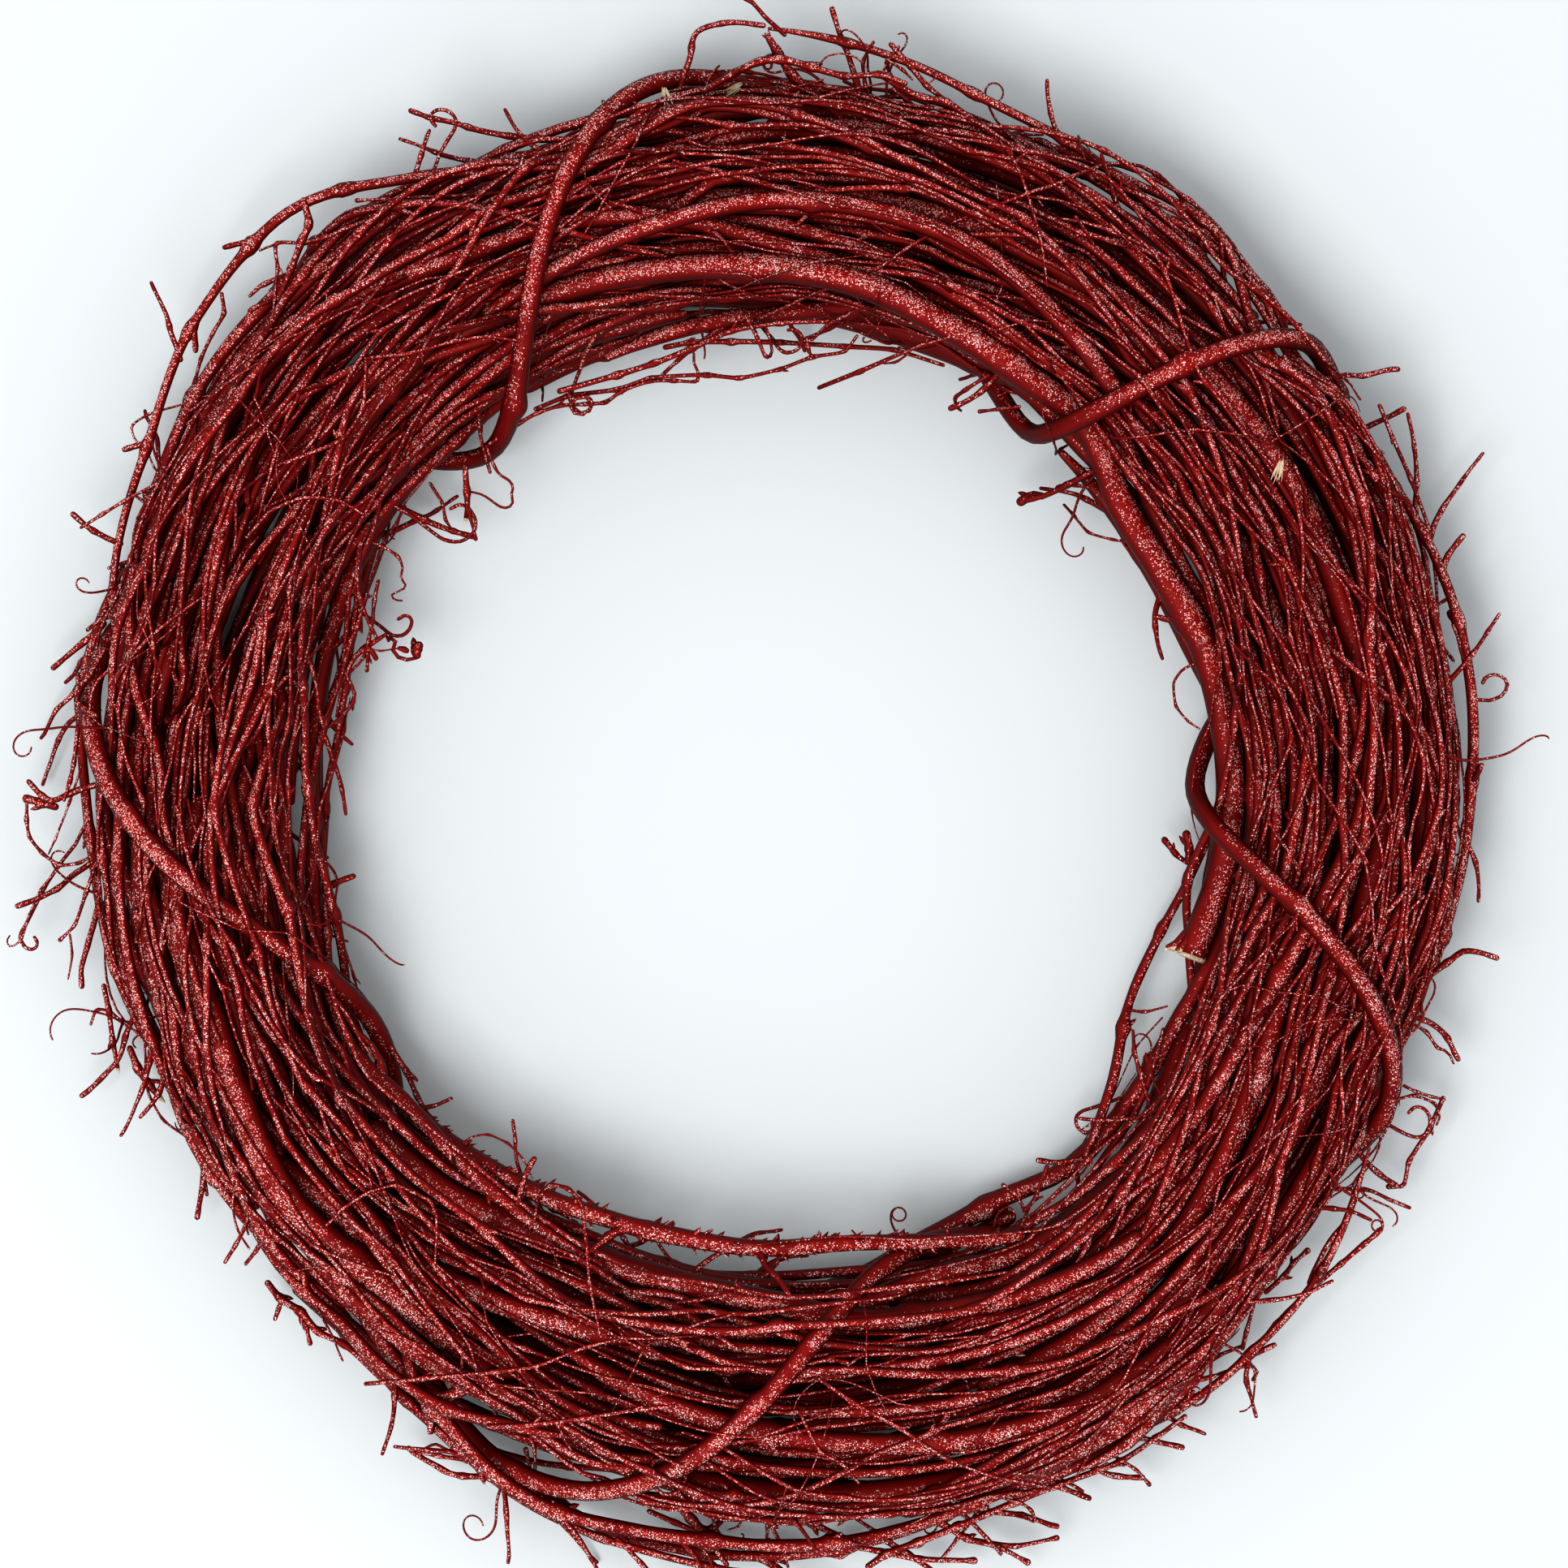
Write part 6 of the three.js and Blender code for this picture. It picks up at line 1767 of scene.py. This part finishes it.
def sprayedVine(name, paint):  # vine bark under satin red spray paint, darker on flanks and undersides as painted shade, with glitter on all that faces up whose pale flakes are painted glints
    material, tree = newMaterial(name)
    grain = addNode(tree, "Attribute", attribute_name="grain", output="Vector")
    glitterAndShade = addNode(tree, "Attribute", attribute_name="glitterAndShade", output="Fac")
    place = addNode(tree, "TexCoord", output="Object")
    normal = place.node.outputs["Normal"]
    strands = addNode(tree, "VectorMath", {0: grain, 1: (1 / paint["fibre"], 1 / paint["fibre"],
                                                       1 / paint["fibreLength"])}, operation="MULTIPLY")
    fibre = addNode(tree, "TexNoise", {"Vector": strands, "Scale": 1.0, "Detail": 3.0, "Roughness": 0.6},
                    output="Fac")
    patch = addNode(tree, "TexNoise", {"Vector": place, "Scale": 1 / (paint["patch"] * millimetre),
                                       "Detail": 3.0, "Roughness": 0.6}, output="Fac")
    both = addNode(tree, "Math", {0: fibre, 1: patch}, operation="ADD")
    uneven = addNode(tree, "MapRange", {"Value": both, "From Min": 0.7, "From Max": 1.3, "To Min": 0.5})
    upward = addNode(tree, "SeparateXYZ", {0: normal}, output="Z")
    # painted shade: from the full red on what faces up to the deep red on flanks and undersides
    paintedShadeByFacing = addNode(tree, "MapRange", {"Value": upward, "From Min": 0.35, "From Max": 1.0, "To Min": 0.1})
    thick = addNode(tree, "Math", {0: uneven, 1: paintedShadeByFacing}, operation="MULTIPLY")
    coatWithPaintedShade = addNode(tree, "Mix", {0: thick, 6: fromHex(paint["deep"]), 7: fromHex(paint["full"])},
                   data_type="RGBA", output=2)
    relief = paint["fibreRelief"] * millimetre
    bump = addNode(tree, "Bump", {"Height": fibre, "Strength": 0.7, "Distance": relief})
    flakes = addNode(tree, "TexVoronoi", {"Vector": place, "Scale": 1 / (paint["flake"] * millimetre)},
                     output="Color")
    chance = addNode(tree, "SeparateColor", {0: flakes})
    away = addNode(tree, "VectorMath", {0: place, 1: (1, 1, 0)}, operation="MULTIPLY")
    away = addNode(tree, "VectorMath", {0: away}, operation="NORMALIZE")
    # glitter on what faces up and a little outward, where it fell; it also paints a highlight along each
    # vine's ridge
    outer = addNode(tree, "VectorMath", {0: away, 1: normal}, operation="DOT_PRODUCT", output="Value")
    glitterAndHighlightFacing = addNode(tree, "Math", {0: outer, 1: paint["outward"], 2: upward}, operation="MULTIPLY_ADD")
    facing = addNode(tree, "MapRange", {"Value": glitterAndHighlightFacing, "From Min": 0.64, "From Max": 1.02})
    clumps = addNode(tree, "TexNoise", {"Vector": place, "Scale": 1 / (paint["clump"] * millimetre),
                                        "Detail": 2.0}, output="Fac")
    clumped = addNode(tree, "MapRange", {"Value": clumps, "From Min": 0.32, "From Max": 0.6, "To Min": 0.2})
    glitterFallenAndLit = addNode(tree, "Math", {0: facing, 1: glitterAndShade}, operation="MULTIPLY")
    amount = addNode(tree, "Math", {0: glitterFallenAndLit, 1: clumped}, operation="MULTIPLY")
    wanted = addNode(tree, "Math", {0: amount, 1: paint["density"]}, operation="MULTIPLY")
    there = addNode(tree, "Math", {0: chance, 1: wanted}, operation="LESS_THAN")
    distance = flakes.node.outputs["Distance"]
    spot = addNode(tree, "MapRange", {"Value": distance, "From Min": 0.54, "From Max": 0.38})
    flake = addNode(tree, "Math", {0: there, 1: spot}, operation="MULTIPLY")
    # painted glints: each flake takes a colour from red to white
    ramp = addNode(tree, "ValToRGB", {0: chance.node.outputs[1]})
    stops = ramp.node.color_ramp.elements
    for at, _ in paint["flakeAndGlintColours"][1:-1]:
        stops.new(at)
    for stop, (at, colour) in zip(stops, paint["flakeAndGlintColours"]):
        stop.position = at
        stop.color = fromHex(colour)
    colour = addNode(tree, "Mix", {0: flake, 6: coatWithPaintedShade, 7: ramp}, data_type="RGBA", output=2)
    rough = addNode(tree, "Mix", {0: flake, 2: paint["roughness"], 3: paint["flakeRoughness"]})
    metal = addNode(tree, "Math", {0: flake, 1: paint["flakeMetal"]}, operation="MULTIPLY")
    lean = addNode(tree, "VectorMath", {0: flakes, 1: (0.5, 0.5, 0.5)}, operation="SUBTRACT")
    tilt = addNode(tree, "VectorMath", {0: lean, "Scale": paint["flakeTilt"]}, operation="SCALE")
    tipped = addNode(tree, "VectorMath", {0: bump, 1: tilt}, operation="ADD")
    tipped = addNode(tree, "VectorMath", {0: tipped}, operation="NORMALIZE")
    normal = addNode(tree, "Mix", {0: flake, 4: bump, 5: tipped}, data_type="VECTOR", output=1)
    shader = addNode(tree, "BsdfPrincipled", {"Base Color": colour, "Roughness": rough, "Metallic": metal,
                                              "Normal": normal, "IOR": 1.5,
                                              "Specular IOR Level": paint["specular"]})
    addNode(tree, "OutputMaterial", {0: shader})
    return material


paintedVine = sprayedVine("spray painted vine with glitter", vinePaint)
paintedTendril = sprayedVine("spray painted tendril", dict(vinePaint, density=0.5))


yearRing = 0.6  # the wood that one year adds


def cutWood(name):  # sawn vine wood: pale, with fine dark growth rings round the pith, and no gloss
    material, tree = newMaterial(name)
    grain = addNode(tree, "Attribute", attribute_name="grain", output="Vector")
    across = addNode(tree, "VectorMath", {0: grain, 1: (1, 1, 0)}, operation="MULTIPLY")
    fromPith = addNode(tree, "VectorMath", {0: across}, operation="LENGTH", output="Value")
    uneven = addNode(tree, "TexNoise", {"Vector": grain, "Scale": 1.5, "Detail": 3.0}, output="Fac")
    bent = addNode(tree, "Math", {0: fromPith, 1: uneven}, operation="ADD")
    turns = addNode(tree, "Math", {0: bent, 1: 2 * math.pi / yearRing}, operation="MULTIPLY")
    rings = addNode(tree, "Math", {0: turns}, operation="SINE")
    share = addNode(tree, "MapRange", {"Value": rings, "From Min": -1.0, "From Max": 1.0})
    colour = addNode(tree, "Mix", {0: share, 6: fromHex("#b3977a"), 7: fromHex("#e0d2b8")},
                     data_type="RGBA", output=2)
    shader = addNode(tree, "BsdfPrincipled", {"Base Color": colour, "Roughness": 0.85, "IOR": 1.5})
    addNode(tree, "OutputMaterial", {0: shader})
    return material


def dryBark(name):  # fibres of dead inner bark: straw colour, streaked along, and dull
    material, tree = newMaterial(name)
    grain = addNode(tree, "Attribute", attribute_name="grain", output="Vector")
    long = addNode(tree, "VectorMath", {0: grain, 1: (6, 6, 0.6)}, operation="MULTIPLY")
    streak = addNode(tree, "TexNoise", {"Vector": long, "Scale": 1.0, "Detail": 3.0}, output="Fac")
    share = addNode(tree, "MapRange", {"Value": streak, "From Min": 0.35, "From Max": 0.65})
    colour = addNode(tree, "Mix", {0: share, 6: fromHex("#a68d66"), 7: fromHex("#e3d6ba")},
                     data_type="RGBA", output=2)
    bump = addNode(tree, "Bump", {"Height": streak, "Strength": 0.6, "Distance": 0.1 * millimetre})
    shader = addNode(tree, "BsdfPrincipled", {"Base Color": colour, "Roughness": 0.9, "IOR": 1.5,
                                              "Normal": bump})
    addNode(tree, "OutputMaterial", {0: shader})
    return material


sawnWood = cutWood("sawn vine wood")
barkFibre = dryBark("dry bark fibre")
print("materials made")


# Pieces

for node, batch in batches.items():
    piece = meshPiece(batch, paintedVine)
    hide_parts(node)
for name, batch in extraBatches.items():
    piece = meshPiece(batch, paintedTendril if name == "tendrils" else paintedVine)
for batch, material in ((cutEnds, sawnWood), (shreds, barkFibre)):
    meshPiece(batch, material)
triangles = sum(sum(len(poly.vertices) - 2 for poly in piece.data.polygons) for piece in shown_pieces())
print("pieces made, with", triangles, "triangles")


# Floor, light and camera

stage = {"floor": "#d6dadb", "floorSize": 6, "sky": "#fcfdff", "skyStrength": 0.9, "keyPower": 40,
         "keySize": 1.2, "keyPlace": (-0.62, -0.74, 2.2), "gamma": 0.82}  # sizes and places in metres


def makeFloor():
    half = stage["floorSize"] / 2
    mesh = bpy.data.meshes.new("floor")
    corners = [(-half, -half, 0), (half, -half, 0), (half, half, 0), (-half, half, 0)]
    mesh.from_pydata(corners, [], [(0, 1, 2, 3)])
    floor = bpy.data.objects.new("floor", mesh)
    bpy.context.scene.collection.objects.link(floor)
    material, tree = newMaterial("pale matt floor")
    shader = addNode(tree, "BsdfPrincipled", {"Base Color": fromHex(stage["floor"]), "Roughness": 0.75})
    addNode(tree, "OutputMaterial", {0: shader})
    mesh.materials.append(material)
    floor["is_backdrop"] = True


def makeLight():
    world = bpy.data.worlds.new("soft sky")
    world.use_nodes = True
    background = world.node_tree.nodes["Background"]
    background.inputs[0].default_value = fromHex(stage["sky"])
    background.inputs[1].default_value = stage["skyStrength"]
    bpy.context.scene.world = world
    key = bpy.data.lights.new("soft key light", "AREA")
    key.energy = stage["keyPower"]
    key.size = stage["keySize"]
    lamp = bpy.data.objects.new("soft key light", key)
    lamp.location = stage["keyPlace"]
    lamp.rotation_euler = (-lamp.location).to_track_quat("-Z", "Y").to_euler()
    bpy.context.scene.collection.objects.link(lamp)


def makeCamera():
    lens = bpy.data.cameras.new("camera")
    lens.type = "PERSP"
    lens.sensor_width = 36
    lens.lens = lens.sensor_width * (view["height"] - bundleHeight) / view["width"]
    lens.clip_start, lens.clip_end = 0.05, 20
    camera = bpy.data.objects.new("camera", lens)
    camera.location = [value * millimetre for value in (*view["middle"], view["height"])]
    bpy.context.scene.collection.objects.link(camera)
    bpy.context.scene.camera = camera


makeFloor()
makeLight()
makeCamera()
bpy.context.scene.view_settings.view_transform = "Standard"
bpy.context.scene.view_settings.gamma = stage["gamma"]  # a print with firm contrast, as the photograph is

print("done")
